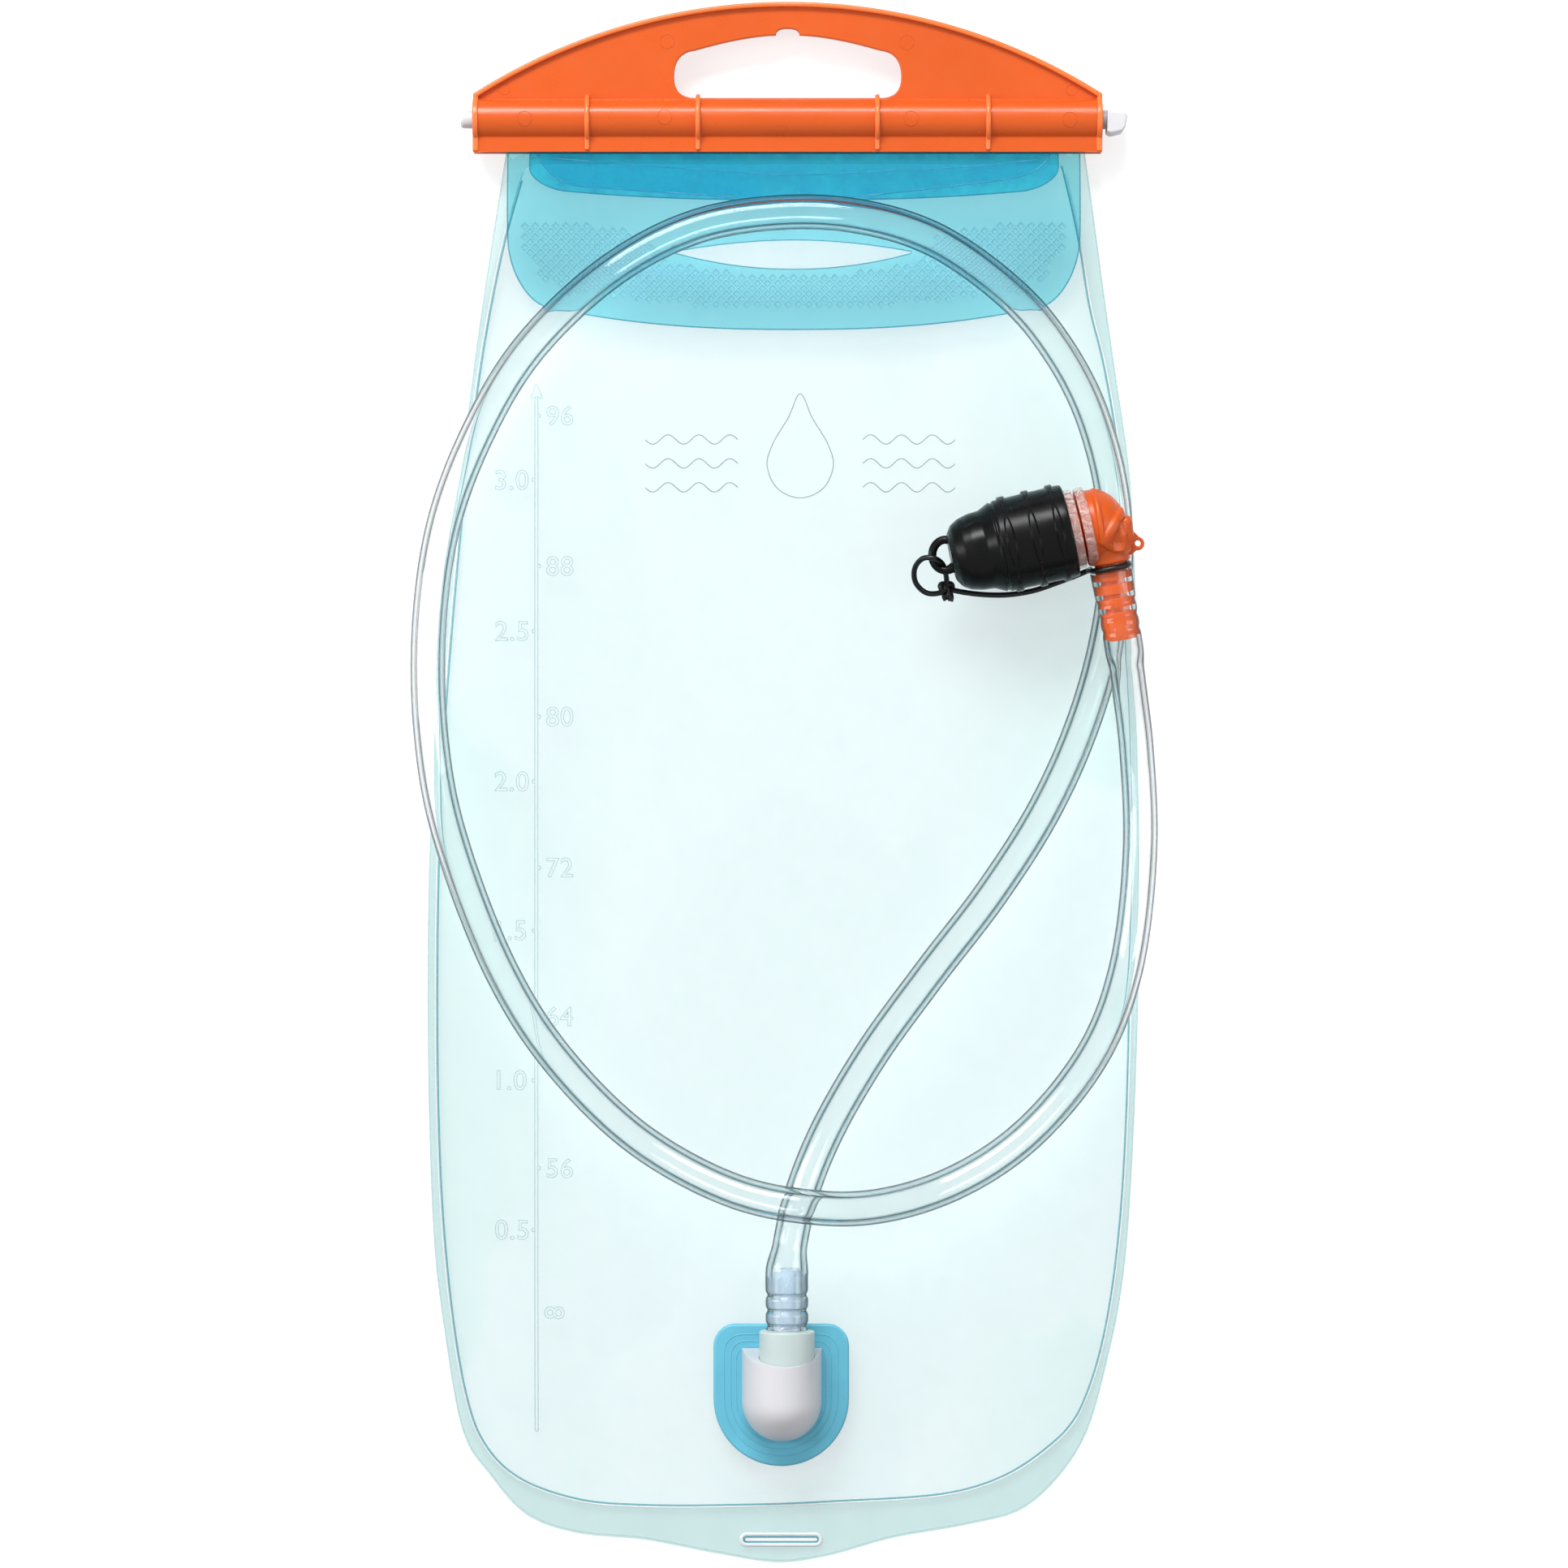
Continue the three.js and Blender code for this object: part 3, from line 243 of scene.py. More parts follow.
class Nodes:
    """The node tree of a material, kept in M, or of the world, with short calls for what they use here."""

    def __init__(self, name, world=None):
        owner = world or M.setdefault(name, bpy.data.materials.new(name))
        owner.use_nodes = True
        self.tree = owner.node_tree
        self.tree.nodes.clear()
        self.output = self.add("ShaderNodeOutputWorld" if world else "ShaderNodeOutputMaterial")
        self.place = self.add("ShaderNodeTexCoord").outputs["Generated" if world else "Object"]

    def add(self, kind, **sockets):
        node = self.tree.nodes.new(kind)
        for key, value in sockets.items():
            self.put(node.inputs[key.replace("_", " ")], value)
        return node

    def put(self, socket, value):
        if isinstance(value, bpy.types.NodeSocket):
            self.tree.links.new(value, socket)
        elif isinstance(value, tuple) and len(value) == 3 and socket.type == "RGBA":
            socket.default_value = (*value, 1.0)
        else:
            socket.default_value = value

    def noise(self, scale, detail=3.0, rough=0.55, stretch=None):
        place = self.place
        if stretch:
            place = self.add("ShaderNodeMapping", Vector=place, Scale=stretch).outputs["Vector"]
        node = self.add("ShaderNodeTexNoise", Vector=place, Scale=scale, Detail=detail, Roughness=rough)
        return node.outputs["Fac"]

    def ramp(self, value, low, high, at=(0.35, 0.65)):
        node = self.add("ShaderNodeValToRGB", Fac=value)
        for element, where, colour in zip(node.color_ramp.elements, at, (low, high)):
            element.position = where
            element.color = (*colour, 1.0)
        return node.outputs["Color"]

    def scale(self, value, low, high, from_low=0.3, from_high=0.7):
        node = self.add("ShaderNodeMapRange", Value=value)
        for key, v in (("From Min", from_low), ("From Max", from_high), ("To Min", low), ("To Max", high)):
            node.inputs[key].default_value = v
        return node.outputs["Result"]

    def math(self, operation, a, b=0.0):
        node = self.add("ShaderNodeMath")
        node.operation = operation
        self.put(node.inputs[0], a)
        self.put(node.inputs[1], b)
        return node.outputs[0]

    def mix_shaders(self, fac, a, b):
        node = self.add("ShaderNodeMixShader", Fac=fac)
        self.put(node.inputs[1], a)
        self.put(node.inputs[2], b)
        return node.outputs["Shader"]

    def blend(self, fac, a, b, kind="MIX"):
        node = self.add("ShaderNodeMix")
        node.data_type = "RGBA"
        node.blend_type = kind
        self.put(node.inputs[0], fac)
        self.put(node.inputs[6], a)
        self.put(node.inputs[7], b)
        return node.outputs[2]

    def bump(self, height, strength, distance):
        node = self.add("ShaderNodeBump", Height=height)
        node.inputs["Strength"].default_value = strength
        node.inputs["Distance"].default_value = distance
        return node.outputs["Normal"]

    def done(self, shader, volume=None):
        self.put(self.output.inputs["Surface"], shader)
        if volume is not None:
            self.put(self.output.inputs["Volume"], volume)


def moulded(name, colour, rough, vary=0.05, grain=0.12, grain_scale=2600.0, glow=0.0, specular=0.5):
    """Moulded plastic or rubber: slow colour drift, uneven gloss and a fine grain."""
    n = Nodes(name)
    darker = tuple(v * (1 - vary) for v in colour)
    lighter = tuple(min(1, v * (1 + vary)) for v in colour)
    base = n.ramp(n.noise(38.0, 4.0), darker, lighter)
    roughness = n.scale(n.noise(140.0, 3.0), rough - 0.05, rough + 0.06)
    fine = n.noise(grain_scale, 2.0)
    broad = n.noise(260.0, 2.0)
    height = n.math("ADD", n.math("MULTIPLY", fine, 0.35), n.math("MULTIPLY", broad, 0.65))
    bsdf = n.add("ShaderNodeBsdfPrincipled", Base_Color=base, Roughness=roughness)
    n.put(bsdf.inputs["Normal"], n.bump(height, grain, 0.00012))
    bsdf.inputs["Specular IOR Level"].default_value = specular
    if glow:
        bsdf.inputs["Subsurface Weight"].default_value = glow
        bsdf.inputs["Subsurface Radius"].default_value = (1.0, 0.6, 0.4)
        bsdf.inputs["Subsurface Scale"].default_value = 0.002
    n.done(bsdf.outputs["BSDF"])


def film(
    name, tint, slope_shade_tint, haze_colour, haze, rough=0.22, patches=0.0, patch_tint=(1, 1, 1),
    facing_gain=0.85, side_shade_tint=None, mottle=0.2,
):
    """Clear or tinted film: light goes straight through; slopes and rims look glossier, and darker through a tint
    painted on them as shade.
    """
    n = Nodes(name)
    facing = n.add("ShaderNodeLayerWeight")
    facing.inputs["Blend"].default_value = 0.5
    slope = n.scale(facing.outputs["Facing"], 0.0, facing_gain, 0.04, 0.75)
    drift = n.noise(9.0, 3.0, 0.5, (1.0, 0.55, 1.0))
    patch = n.scale(drift, 0.0, patches, 0.495, 0.515)
    # Painted shade: the tint darkens towards both sides across X, like shading on the pillow's sloping sides.
    if side_shade_tint:
        across = n.add("ShaderNodeSeparateXYZ", Vector=n.place).outputs["X"]
        outward = n.scale(n.math("ABSOLUTE", across), 0.0, 1.0, 0.045, 0.094)
        tint = n.blend(outward, tint, side_shade_tint)
    through = n.blend(patch, tint, patch_tint)
    # Painted shade: where the surface slopes, the tint is blended towards a darker one.
    through = n.blend(slope, through, slope_shade_tint)
    clear = n.add("ShaderNodeBsdfTransparent", Color=through)
    uneven = n.scale(n.noise(90.0), rough - 0.05, rough + 0.05)
    surface = n.add("ShaderNodeBsdfPrincipled", Base_Color=haze_colour, Roughness=uneven)
    n.put(surface.inputs["Normal"], n.bump(n.noise(160.0, 2.0), 0.02, 0.0001))
    cloud = n.scale(n.noise(55.0 + 90.0 * mottle, 4.0), haze * (1 - mottle), haze * (1 + mottle))
    share = n.math("ADD", cloud, n.math("MULTIPLY", slope, 0.35))
    n.done(n.mix_shaders(share, clear.outputs["BSDF"], surface.outputs["BSDF"]))


def clear_solid(name, tint, rough, absorb, density, ior=1.45):
    """A clear moulded solid that bends light, with a faint colour in its depth and shade painted on its rims."""
    n = Nodes(name)
    cloud = n.noise(120.0, 3.0)
    base = n.ramp(cloud, tuple(v * 0.985 for v in tint), tint)
    rim = n.add("ShaderNodeLayerWeight")
    rim.inputs["Blend"].default_value = 0.5
    # Painted shade: Layer Weight darkens the base colour towards the rims, nearly to black at grazing angles.
    painted_rim_shade = n.ramp(rim.outputs["Facing"], (1.0, 1.0, 1.0), (0.50, 0.51, 0.54), (0.37, 0.47))
    painted_dark_rim = n.ramp(rim.outputs["Facing"], (1.0, 1.0, 1.0), (0.03, 0.033, 0.04), (0.52, 0.64))
    base = n.blend(1.0, n.blend(1.0, base, painted_rim_shade, "MULTIPLY"), painted_dark_rim, "MULTIPLY")
    roughness = n.scale(n.noise(60.0), max(0.0, rough - 0.008), rough + 0.008)
    bsdf = n.add("ShaderNodeBsdfPrincipled", Base_Color=base, Roughness=roughness)
    bsdf.inputs["Transmission Weight"].default_value = 1.0
    bsdf.inputs["IOR"].default_value = ior
    n.put(bsdf.inputs["Normal"], n.bump(n.noise(45.0, 1.0), 0.03, 0.0001))
    open_air = n.add("ShaderNodeBsdfTransparent", Color=tuple(v * 0.98 for v in tint))
    in_shadow = n.add("ShaderNodeLightPath").outputs["Is Shadow Ray"]
    mix = n.mix_shaders(in_shadow, bsdf.outputs["BSDF"], open_air.outputs["BSDF"])
    depth = n.add("ShaderNodeVolumeAbsorption")
    depth.inputs["Color"].default_value = (*absorb, 1.0)
    depth.inputs["Density"].default_value = density
    n.done(mix, depth.outputs["Volume"])


def cloudy_silicone(name, tint, share, rough=0.25):
    """Clear silicone with a torn, streaky skin, glossy, with pale highlights painted on its streaks."""
    n = Nodes(name)
    streaks = n.noise(900.0, 4.0, 0.6, (0.45, 1.0, 1.0))
    clear = n.add("ShaderNodeBsdfTransparent", Color=n.ramp(streaks, tuple(v * 0.9 for v in tint), tint))
    # Painted highlight: the streaks take a pale, near-white colour.
    painted_streak_highlight = n.ramp(streaks, tint, (0.98, 0.96, 0.95))
    surface = n.add("ShaderNodeBsdfPrincipled", Base_Color=painted_streak_highlight, Roughness=n.scale(streaks, rough, rough + 0.2))
    n.put(surface.inputs["Normal"], n.bump(streaks, 0.7, 0.0006))
    # The pale painted streak surface is mixed in where the streaks run high.
    streak_highlight_share = n.scale(streaks, share * 0.2, min(1.0, share * 1.9), 0.48, 0.64)
    mix = n.mix_shaders(streak_highlight_share, clear.outputs["BSDF"], surface.outputs["BSDF"])
    shine = n.add("ShaderNodeBsdfGlossy", Color=(1.0, 0.97, 0.95), Roughness=0.12)
    n.put(shine.inputs["Normal"], n.bump(streaks, 1.0, 0.0012))
    n.done(n.mix_shaders(0.14, mix, shine.outputs["BSDF"]))


film(
    "clear_film", (0.977, 0.988, 0.989), srgb(125, 190, 198), srgb(228, 248, 247), 0.035,
    patches=1.0, patch_tint=(0.972, 0.985, 0.986), side_shade_tint=(0.951, 0.978, 0.975),
    facing_gain=0.3,
)
film("rim_film", (0.930, 0.969, 0.966), srgb(130, 175, 184), srgb(210, 232, 234), 0.06, facing_gain=0.3)
# Dark teal film for the weld line, as painted shade; the near-white film after it is a painted highlight beside the
# weld and also the pale melted rim of the tab's slot.
film("weld_film", (0.66, 0.87, 0.905), srgb(60, 140, 158), srgb(120, 190, 202), 0.3)
film("weld_shine", (0.98, 0.99, 0.99), (0.95, 0.98, 0.98), (0.98, 1.0, 1.0), 0.7)
# The raised scale's marks take a darker tint: painted shade for their embossing.
film("scale_mark", (0.89, 0.945, 0.95), srgb(90, 150, 165), srgb(225, 240, 242), 0.14)
film("print_line", (0.8, 0.84, 0.85), srgb(150, 170, 175), srgb(170, 186, 190), 0.5)
film("blue_film", (0.655, 0.928, 0.962), srgb(60, 160, 190), srgb(110, 205, 225), 0.035, facing_gain=0.4)
film("edge_film", (0.55, 0.82, 0.88), srgb(50, 140, 165), srgb(110, 190, 205), 0.15)
film("grip_film", (0.985, 0.997, 0.999), srgb(30, 150, 185), srgb(170, 232, 244), 0.06, rough=0.15)
film("dark_blue_film", (0.44, 0.93, 0.992), srgb(20, 140, 190), srgb(120, 208, 234), 0.16, mottle=0.95)
film(
    "fold_film", (0.70, 0.95, 0.995), srgb(20, 130, 185), srgb(90, 195, 235), 0.06,
    patches=0.8, patch_tint=(0.9, 0.98, 0.99),
)
moulded("orange_plastic", (0.69, 0.099, 0.0065), 0.31, vary=0.03, glow=0.03)
# A lighter copy of the orange plastic: painted highlight on the slider's ribs, rim and ends.
moulded("orange_painted_highlight", (0.95, 0.20, 0.045), 0.3, vary=0.03)
moulded("white_plastic", (0.70, 0.70, 0.73), 0.38, vary=0.02, glow=0.1)
moulded("blue_plastic", (0.13, 0.50, 0.66), 0.34, vary=0.07)
moulded("milky_plastic", (0.55, 0.655, 0.645), 0.34, vary=0.03, glow=0.2)
moulded("seal_rubber", srgb(190, 222, 188), 0.5, vary=0.03)
moulded(
    "black_rubber", (0.0035, 0.0037, 0.004), 0.27, vary=0.12, grain=0.1, grain_scale=3800.0, specular=0.22,
)
moulded("black_cord", (0.006, 0.006, 0.007), 0.3, vary=0.15, grain=0.1)
clear_solid("clear_hose", (0.985, 0.995, 0.994), 0.01, (0.22, 0.62, 0.72), 14.0)
film("clear_plastic", (0.90, 0.94, 0.965), srgb(120, 160, 180), srgb(206, 220, 232), 0.3, rough=0.25)
cloudy_silicone("silicone", (0.995, 0.97, 0.955), 0.16)
cloudy_silicone("bite_silicone", (0.97, 0.96, 0.95), 0.2, 0.3)

# ---------- mesh building ----------


def piece(name, verts, faces, material, body=None, slot=None, stands_for=(), sharp=None, even=False):
    """A mesh object from millimetre points, riding on a CAD body."""
    mesh = bpy.data.meshes.new(name)
    points = (np.asarray(verts, float) * MM).tolist()
    mesh.from_pydata(points, [], [tuple(int(i) for i in f) for f in faces])
    bm = bmesh.new()
    bm.from_mesh(mesh)
    bmesh.ops.remove_doubles(bm, verts=bm.verts, dist=2e-7)
    bmesh.ops.recalc_face_normals(bm, faces=bm.faces)
    bm.to_mesh(mesh)
    bm.free()
    obj = bpy.data.objects.new(name, mesh)
    bpy.context.scene.collection.objects.link(obj)
    dress(obj, material, body, stands_for, sharp, even)
    return obj


def dress(obj, material, body=None, stands_for=(), sharp=None, even=False):
    obj.data.materials.clear()
    obj.data.materials.append(M[material])
    obj.data.shade_smooth()
    if sharp:
        obj.data.set_sharp_from_angle(angle=math.radians(sharp))
    if even:
        flat = obj.modifiers.new("even_normals", "WEIGHTED_NORMAL")
        flat.keep_sharp = True
    if body:
        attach(obj, body)
    if stands_for:
        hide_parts(*stands_for)
    return obj


def applied(obj):
    """Bakes obj's modifiers into its mesh."""
    bpy.context.view_layer.update()
    made = bpy.data.meshes.new_from_object(obj.evaluated_get(bpy.context.evaluated_depsgraph_get()))
    obj.modifiers.clear()
    obj.data = made
    return obj


def combine(base, others, operation="UNION"):
    """One closed solid out of several, by boolean."""
    for other in others:
        step = base.modifiers.new("step", "BOOLEAN")
        step.operation, step.solver, step.object = operation, "EXACT", other
    applied(base)
    for other in others:
        bpy.data.objects.remove(other)
    return base


def grid_faces(rows, cols, closed_rows=False, closed_cols=False):
    faces = []
    for i in range(rows if closed_rows else rows - 1):
        for j in range(cols if closed_cols else cols - 1):
            a, b = i * cols + j, i * cols + (j + 1) % cols
            c, d = ((i + 1) % rows) * cols + (j + 1) % cols, ((i + 1) % rows) * cols + j
            faces.append((a, b, c, d))
    return faces


def tube(line, radii, sides, closed=False, inner=None):
    """A tube round a line. With inner radii it is hollow and open at both ends."""
    line = np.asarray(line, float)
    count = len(line)
    if closed:
        tangents = np.roll(line, -1, 0) - np.roll(line, 1, 0)
    else:
        tangents = np.gradient(line, axis=0)
    tangents /= np.linalg.norm(tangents, axis=1)[:, None]
    side = unit(np.cross((0, 0, 1), tangents[0])) if abs(tangents[0][2]) < 0.95 else np.array([1.0, 0, 0])
    sides_at = []
    for t in tangents:
        side = unit(side - t * side.dot(t))
        sides_at.append(side)
    twist = 0.0
    if closed:
        first, last = sides_at[0], unit(sides_at[-1] - tangents[0] * sides_at[-1].dot(tangents[0]))
        twist = math.atan2(np.cross(last, first).dot(tangents[0]), last.dot(first))
    angle = 2 * math.pi * np.arange(sides) / sides
    layers = []
    for r_at in [radii] + ([inner] if inner is not None else []):
        rings = []
        for i in range(count):
            up = np.cross(tangents[i], sides_at[i])
            turn = angle + twist * i / count
            circle = np.outer(np.cos(turn), sides_at[i]) + np.outer(np.sin(turn), up)
            rings.append(line[i] + np.broadcast_to(r_at, count)[i] * circle)
        layers.append(np.concatenate(rings))
    faces = grid_faces(count, sides, closed, True)
    total = count * sides
    if inner is not None:
        faces += [tuple(i + total for i in reversed(f)) for f in faces]
        for end in (0, count - 1):
            for k in range(sides):
                a, b = end * sides + k, end * sides + (k + 1) % sides
                faces.append((a, b, b + total, a + total) if end else (b, a, a + total, b + total))
    elif not closed:
        faces += [tuple(range(sides))[::-1], tuple(range(total - sides, total))]
    return np.concatenate(layers), faces


def lathe(profile, origin, direction, sides=96, shape=None):
    """A profile of (distance, radius) turned about a direction. shape() may alter the radius."""
    direction = unit(direction)
    side = unit(np.cross((0, 0, 1), direction)) if abs(direction[2]) < 0.9 else np.array([1.0, 0, 0])
    up = np.cross(direction, side)
    profile = [tuple(p) for p in profile]
    angle = 2 * math.pi * np.arange(sides) / sides
    verts = []
    for s, r in profile:
        radius = np.full(sides, r, float) if shape is None else shape(s, angle, r)
        radius = np.maximum(radius, 1e-5)
        centre = np.asarray(origin) + s * direction
        verts.append(centre + np.outer(radius * np.cos(angle), side) + np.outer(radius * np.sin(angle), up))
    verts = np.concatenate(verts)
    closed_profile = profile[0] == profile[-1]
    faces = grid_faces(len(profile), sides, False, True)
    if not closed_profile:
        faces += [tuple(range(sides))[::-1], tuple(range(len(verts) - sides, len(verts)))]
    return verts, faces


def fillet(points, radius, steps=4):
    """Rounds the corners of an open line of 2D points."""
    out = [points[0]]
    for a, b, c in zip(points, points[1:], points[2:]):
        a, b, c = (np.asarray(v, float) for v in (a, b, c))
        r = min(radius, np.linalg.norm(b - a) / 2.05, np.linalg.norm(c - b) / 2.05)
        start, end = b + unit(a - b) * r, b + unit(c - b) * r
        for t in np.linspace(0, 1, steps + 1):
            out.append(tuple((1 - t) ** 2 * start + 2 * t * (1 - t) * b + t**2 * end))
    out.append(points[-1])
    return out


def inset(loop, d):
    p = np.asarray(loop, float)
    one, two = p - np.roll(p, 1, 0), np.roll(p, -1, 0) - p
    one /= np.linalg.norm(one, axis=1)[:, None]
    two /= np.linalg.norm(two, axis=1)[:, None]
    left = np.stack([-one[:, 1], one[:, 0]], 1)
    middle = left + np.stack([-two[:, 1], two[:, 0]], 1)
    middle /= np.linalg.norm(middle, axis=1)[:, None]
    return p + middle * (d / np.maximum(0.35, (middle * left).sum(1)))[:, None]


def prism(outline, low, high, r, holes=(), steps=3, to_space=None):
    """A plate with rounded edges, from low to high. Outlines run counter-clockwise and holes clockwise."""
    levels = []
    for k in range(steps + 1):
        a = k / steps * math.pi / 2
        levels.append((r * (1 - math.sin(a)), low + r * (1 - math.cos(a))))
    levels += [(d, high + low - z) for d, z in reversed(levels)]
    verts, faces, rims = [], [], [[], []]
    for loop in [outline, *holes]:
        start = len(verts)
        count = len(loop)
        for d, z in levels:
            verts += [(x, y, z) for x, y in inset(loop, d)]
        faces += [tuple(start + i for i in f) for f in grid_faces(len(levels), count, False, True)]
        rims[0].append(list(range(start, start + count)))
        rims[1].append(list(range(start + (len(levels) - 1) * count, start + len(levels) * count)))
    for rim in rims:
        flat = [i for loop in rim for i in loop]
        loops = [[Vector((verts[i][0], verts[i][1], 0)) for i in loop] for loop in rim]
        for tri in tessellate_polygon(loops):
            faces.append(tuple(flat[i] for i in tri))
    verts = np.array(verts)
    return (verts if to_space is None else to_space(verts)), faces


def arc(cx, cy, r, start, end, count):
    a = np.linspace(start, end, count)
    return [(cx + r * math.cos(t), cy + r * math.sin(t)) for t in a]


def quad_curve(a, b, c):
    t = np.linspace(0, 1, 9)[1:, None]
    a, b, c = (np.array(v) for v in (a, b, c))
    return [tuple(q) for q in (1 - t) ** 2 * a + 2 * t * (1 - t) * b + t**2 * c]


def turned(name, profile, axis, sides, material, body, node, sharp, shape=None):
    """A lathed piece with a closed profile, which stands for a CAD node."""
    body_mesh = lathe([*profile, profile[0]], *axis, sides, shape)
    return piece(name, *body_mesh, material, body, material, [node], sharp)


def scratch(name, shape):
    """A piece that is only used to build another."""
    return piece(name, shape[0], shape[1], "orange_plastic")


def sunk_line(route, r, top, sides=8, closed=False):
    """A bead that runs along a surface, half sunk in it."""
    curve = catmull(route, closed)
    line = respace(curve, max(12, int(stations_of(curve)[-1] / BEAD_STEP)))
    if closed:
        line = line[:-1]
    z = top(line[:, 0], line[:, 1])
    return tube(np.column_stack([line, z]), r, sides, closed)


def merged(parts):
    verts, faces, start = [], [], 0
    for v, f in parts:
        verts.append(np.asarray(v))
        faces += [tuple(i + start for i in face) for face in f]
        start += len(v)
    return np.concatenate(verts), faces


# ---------- camera and light ----------

scene = bpy.context.scene
LENS, SENSOR = 135.0, 36.0
SEEN_SIDE, SEEN_Z = 425.04, 8.0  # the camera sees a square of this side at this height
camera = bpy.data.objects.new("camera", bpy.data.cameras.new("camera"))
scene.collection.objects.link(camera)
camera.data.lens = LENS
camera.location = (0, 0, (SEEN_SIDE / SENSOR * LENS + SEEN_Z) * MM)
scene.camera = camera
scene.view_settings.view_transform = "Standard"
scene.cycles.transparent_max_bounces = 48
scene.cycles.max_bounces = 24
scene.cycles.transmission_bounces = 20

world = bpy.data.worlds.new("studio")
scene.world = world
sky = Nodes("sky", world)
height = sky.add("ShaderNodeSeparateXYZ", Vector=sky.place).outputs["Z"]
LOW_SKY, HIGH_SKY = (0.03, 0.03, 0.0303), (0.52, 0.52, 0.5252)
backdrop = sky.blend(
    sky.add("ShaderNodeLightPath").outputs["Is Camera Ray"],
    sky.ramp(height, LOW_SKY, HIGH_SKY, (0.02, 0.4)), (1.0, 1.0, 1.0),
)
sky.done(sky.add("ShaderNodeBackground", Color=backdrop).outputs["Background"])


def softbox(name, place, aim, size, watts):
    data = bpy.data.lights.new(name, "AREA")
    data.shape = "RECTANGLE"
    data.size, data.size_y = size
    data.energy = watts
    lamp = bpy.data.objects.new(name, data)
    scene.collection.objects.link(lamp)
    lamp.location = place
    lamp.rotation_mode = "QUATERNION"
    lamp.rotation_quaternion = (Vector(aim) - Vector(place)).to_track_quat("-Z", "Y")


softbox("key_light", (-0.35, 1.25, 1.1), (0, 0.0, 0), (1.1, 0.45), 24.0)
softbox("side_light", (1.3, 0.1, 0.8), (0, 0, 0), (0.4, 1.2), 4.0)
softbox("left_light", (-1.3, 0.1, 0.7), (0, 0, 0), (0.35, 1.2), 7.0)

floor_mesh = bpy.data.meshes.new("floor")
FLOOR_R, FLOOR_Z, FLOOR_GLOW = 0.8, -0.0004, 0.68
floor_edge = [(FLOOR_R * math.cos(a), FLOOR_R * math.sin(a), FLOOR_Z) for a in np.linspace(0, 2 * math.pi, 65)[:-1]]
floor_mesh.from_pydata(floor_edge, [], [tuple(range(64))])
floor = bpy.data.objects.new("floor", floor_mesh)
scene.collection.objects.link(floor)
fn = Nodes("floor_paint")
paint = fn.ramp(fn.noise(3.0), (0.44, 0.44, 0.44), (0.46, 0.46, 0.46))
floor_bsdf = fn.add("ShaderNodeBsdfPrincipled", Base_Color=paint, Roughness=0.9)
slant = fn.add("ShaderNodeLayerWeight")
slant.inputs["Blend"].default_value = 0.5
upward = fn.scale(slant.outputs["Facing"], FLOOR_GLOW, -0.36, 0.12, 0.52)
direct = fn.add("ShaderNodeLightPath").outputs["Is Camera Ray"]
glow = fn.math("MAXIMUM", upward, fn.math("MULTIPLY", direct, FLOOR_GLOW))
floor_bsdf.inputs["Emission Color"].default_value = (1, 1, 1, 1)
fn.put(floor_bsdf.inputs["Emission Strength"], glow)
fn.done(floor_bsdf.outputs["BSDF"])
floor_mesh.materials.append(M["floor_paint"])

# ---------- cords ----------

hose_curve = catmull(HOSE, steps=20)
hose_length = stations_of(hose_curve)[-1]
PORT_END, VALVE_END = 24, 28  # the stretches over the barb and over the valve's stem
hose_s = np.concatenate([
    np.linspace(0, PORT_END, 60), np.linspace(PORT_END, hose_length - VALVE_END, 560)[1:-1],
    np.linspace(hose_length - VALVE_END, hose_length, 70),
])
hose_line = at_stations(hose_curve, hose_s)
port_swell = smooth((23 - hose_s) / 7.5)
valve_left = hose_length - hose_s
valve_swell = smooth((27.5 - valve_left) / 6)
hose_outer = HOSE_R + 1.05 * port_swell + 0.5 * valve_swell + 0.5 * smooth((14 - valve_left) / 14)
for groove in (9.4, 5.25, 1.2):
    hose_outer -= 0.5 * np.exp(-(((hose_s - groove) / 0.7) ** 2))
for groove in (16.0, 12.2, 8.4):
    hose_outer -= 0.3 * np.exp(-(((valve_left - groove) / 0.8) ** 2))
hose_bore = HOSE_BORE + 0.9 * port_swell + 0.9 * valve_swell
hose_mesh = tube(hose_line, hose_outer, 56, inner=hose_bore)
hose = piece("drink_hose_clear", *hose_mesh, "clear_hose", "bag", "clear_hose", ["drink_hose"], sharp=60)

loop_side = unit(np.cross((0, 0, 1), STEM_DIR))
loop_up = np.cross(STEM_DIR, loop_side)
tether_points = []
for i in range(17):
    share = i / 16
    turn_by = math.pi * (1.4 + 1.82 * share)
    r = 4.2 + GAP + CORD_R + 1.5 * float(smooth((share - 0.85) / 0.15))
    centre = STEM_FROM + STEM_DIR * (11.4 + 0.2 * share)
    tether_points.append(centre + loop_side * r * math.cos(turn_by) + loop_up * r * math.sin(turn_by))
tether_points += STRAND
tether_line = respace(catmull(tether_points, steps=8), 150)
strand = piece("tether_strand_elastic", *tube(tether_line, CORD_R, 16), "black_cord", None, "black_cord")
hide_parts("tether_strand")

# ---------- films ----------

edge_line = respace(catmull(EDGE), 300)
mouth_line = np.linspace(edge_line[-1], edge_line[0], 60)[1:-1]
film_loop = np.concatenate([edge_line, mouth_line])
loop_r = np.hypot(*film_loop.T)
loop_dir = film_loop / loop_r[:, None]
loop_reach = np.minimum(seam_reach(*film_loop.T), loop_r - 0.6)


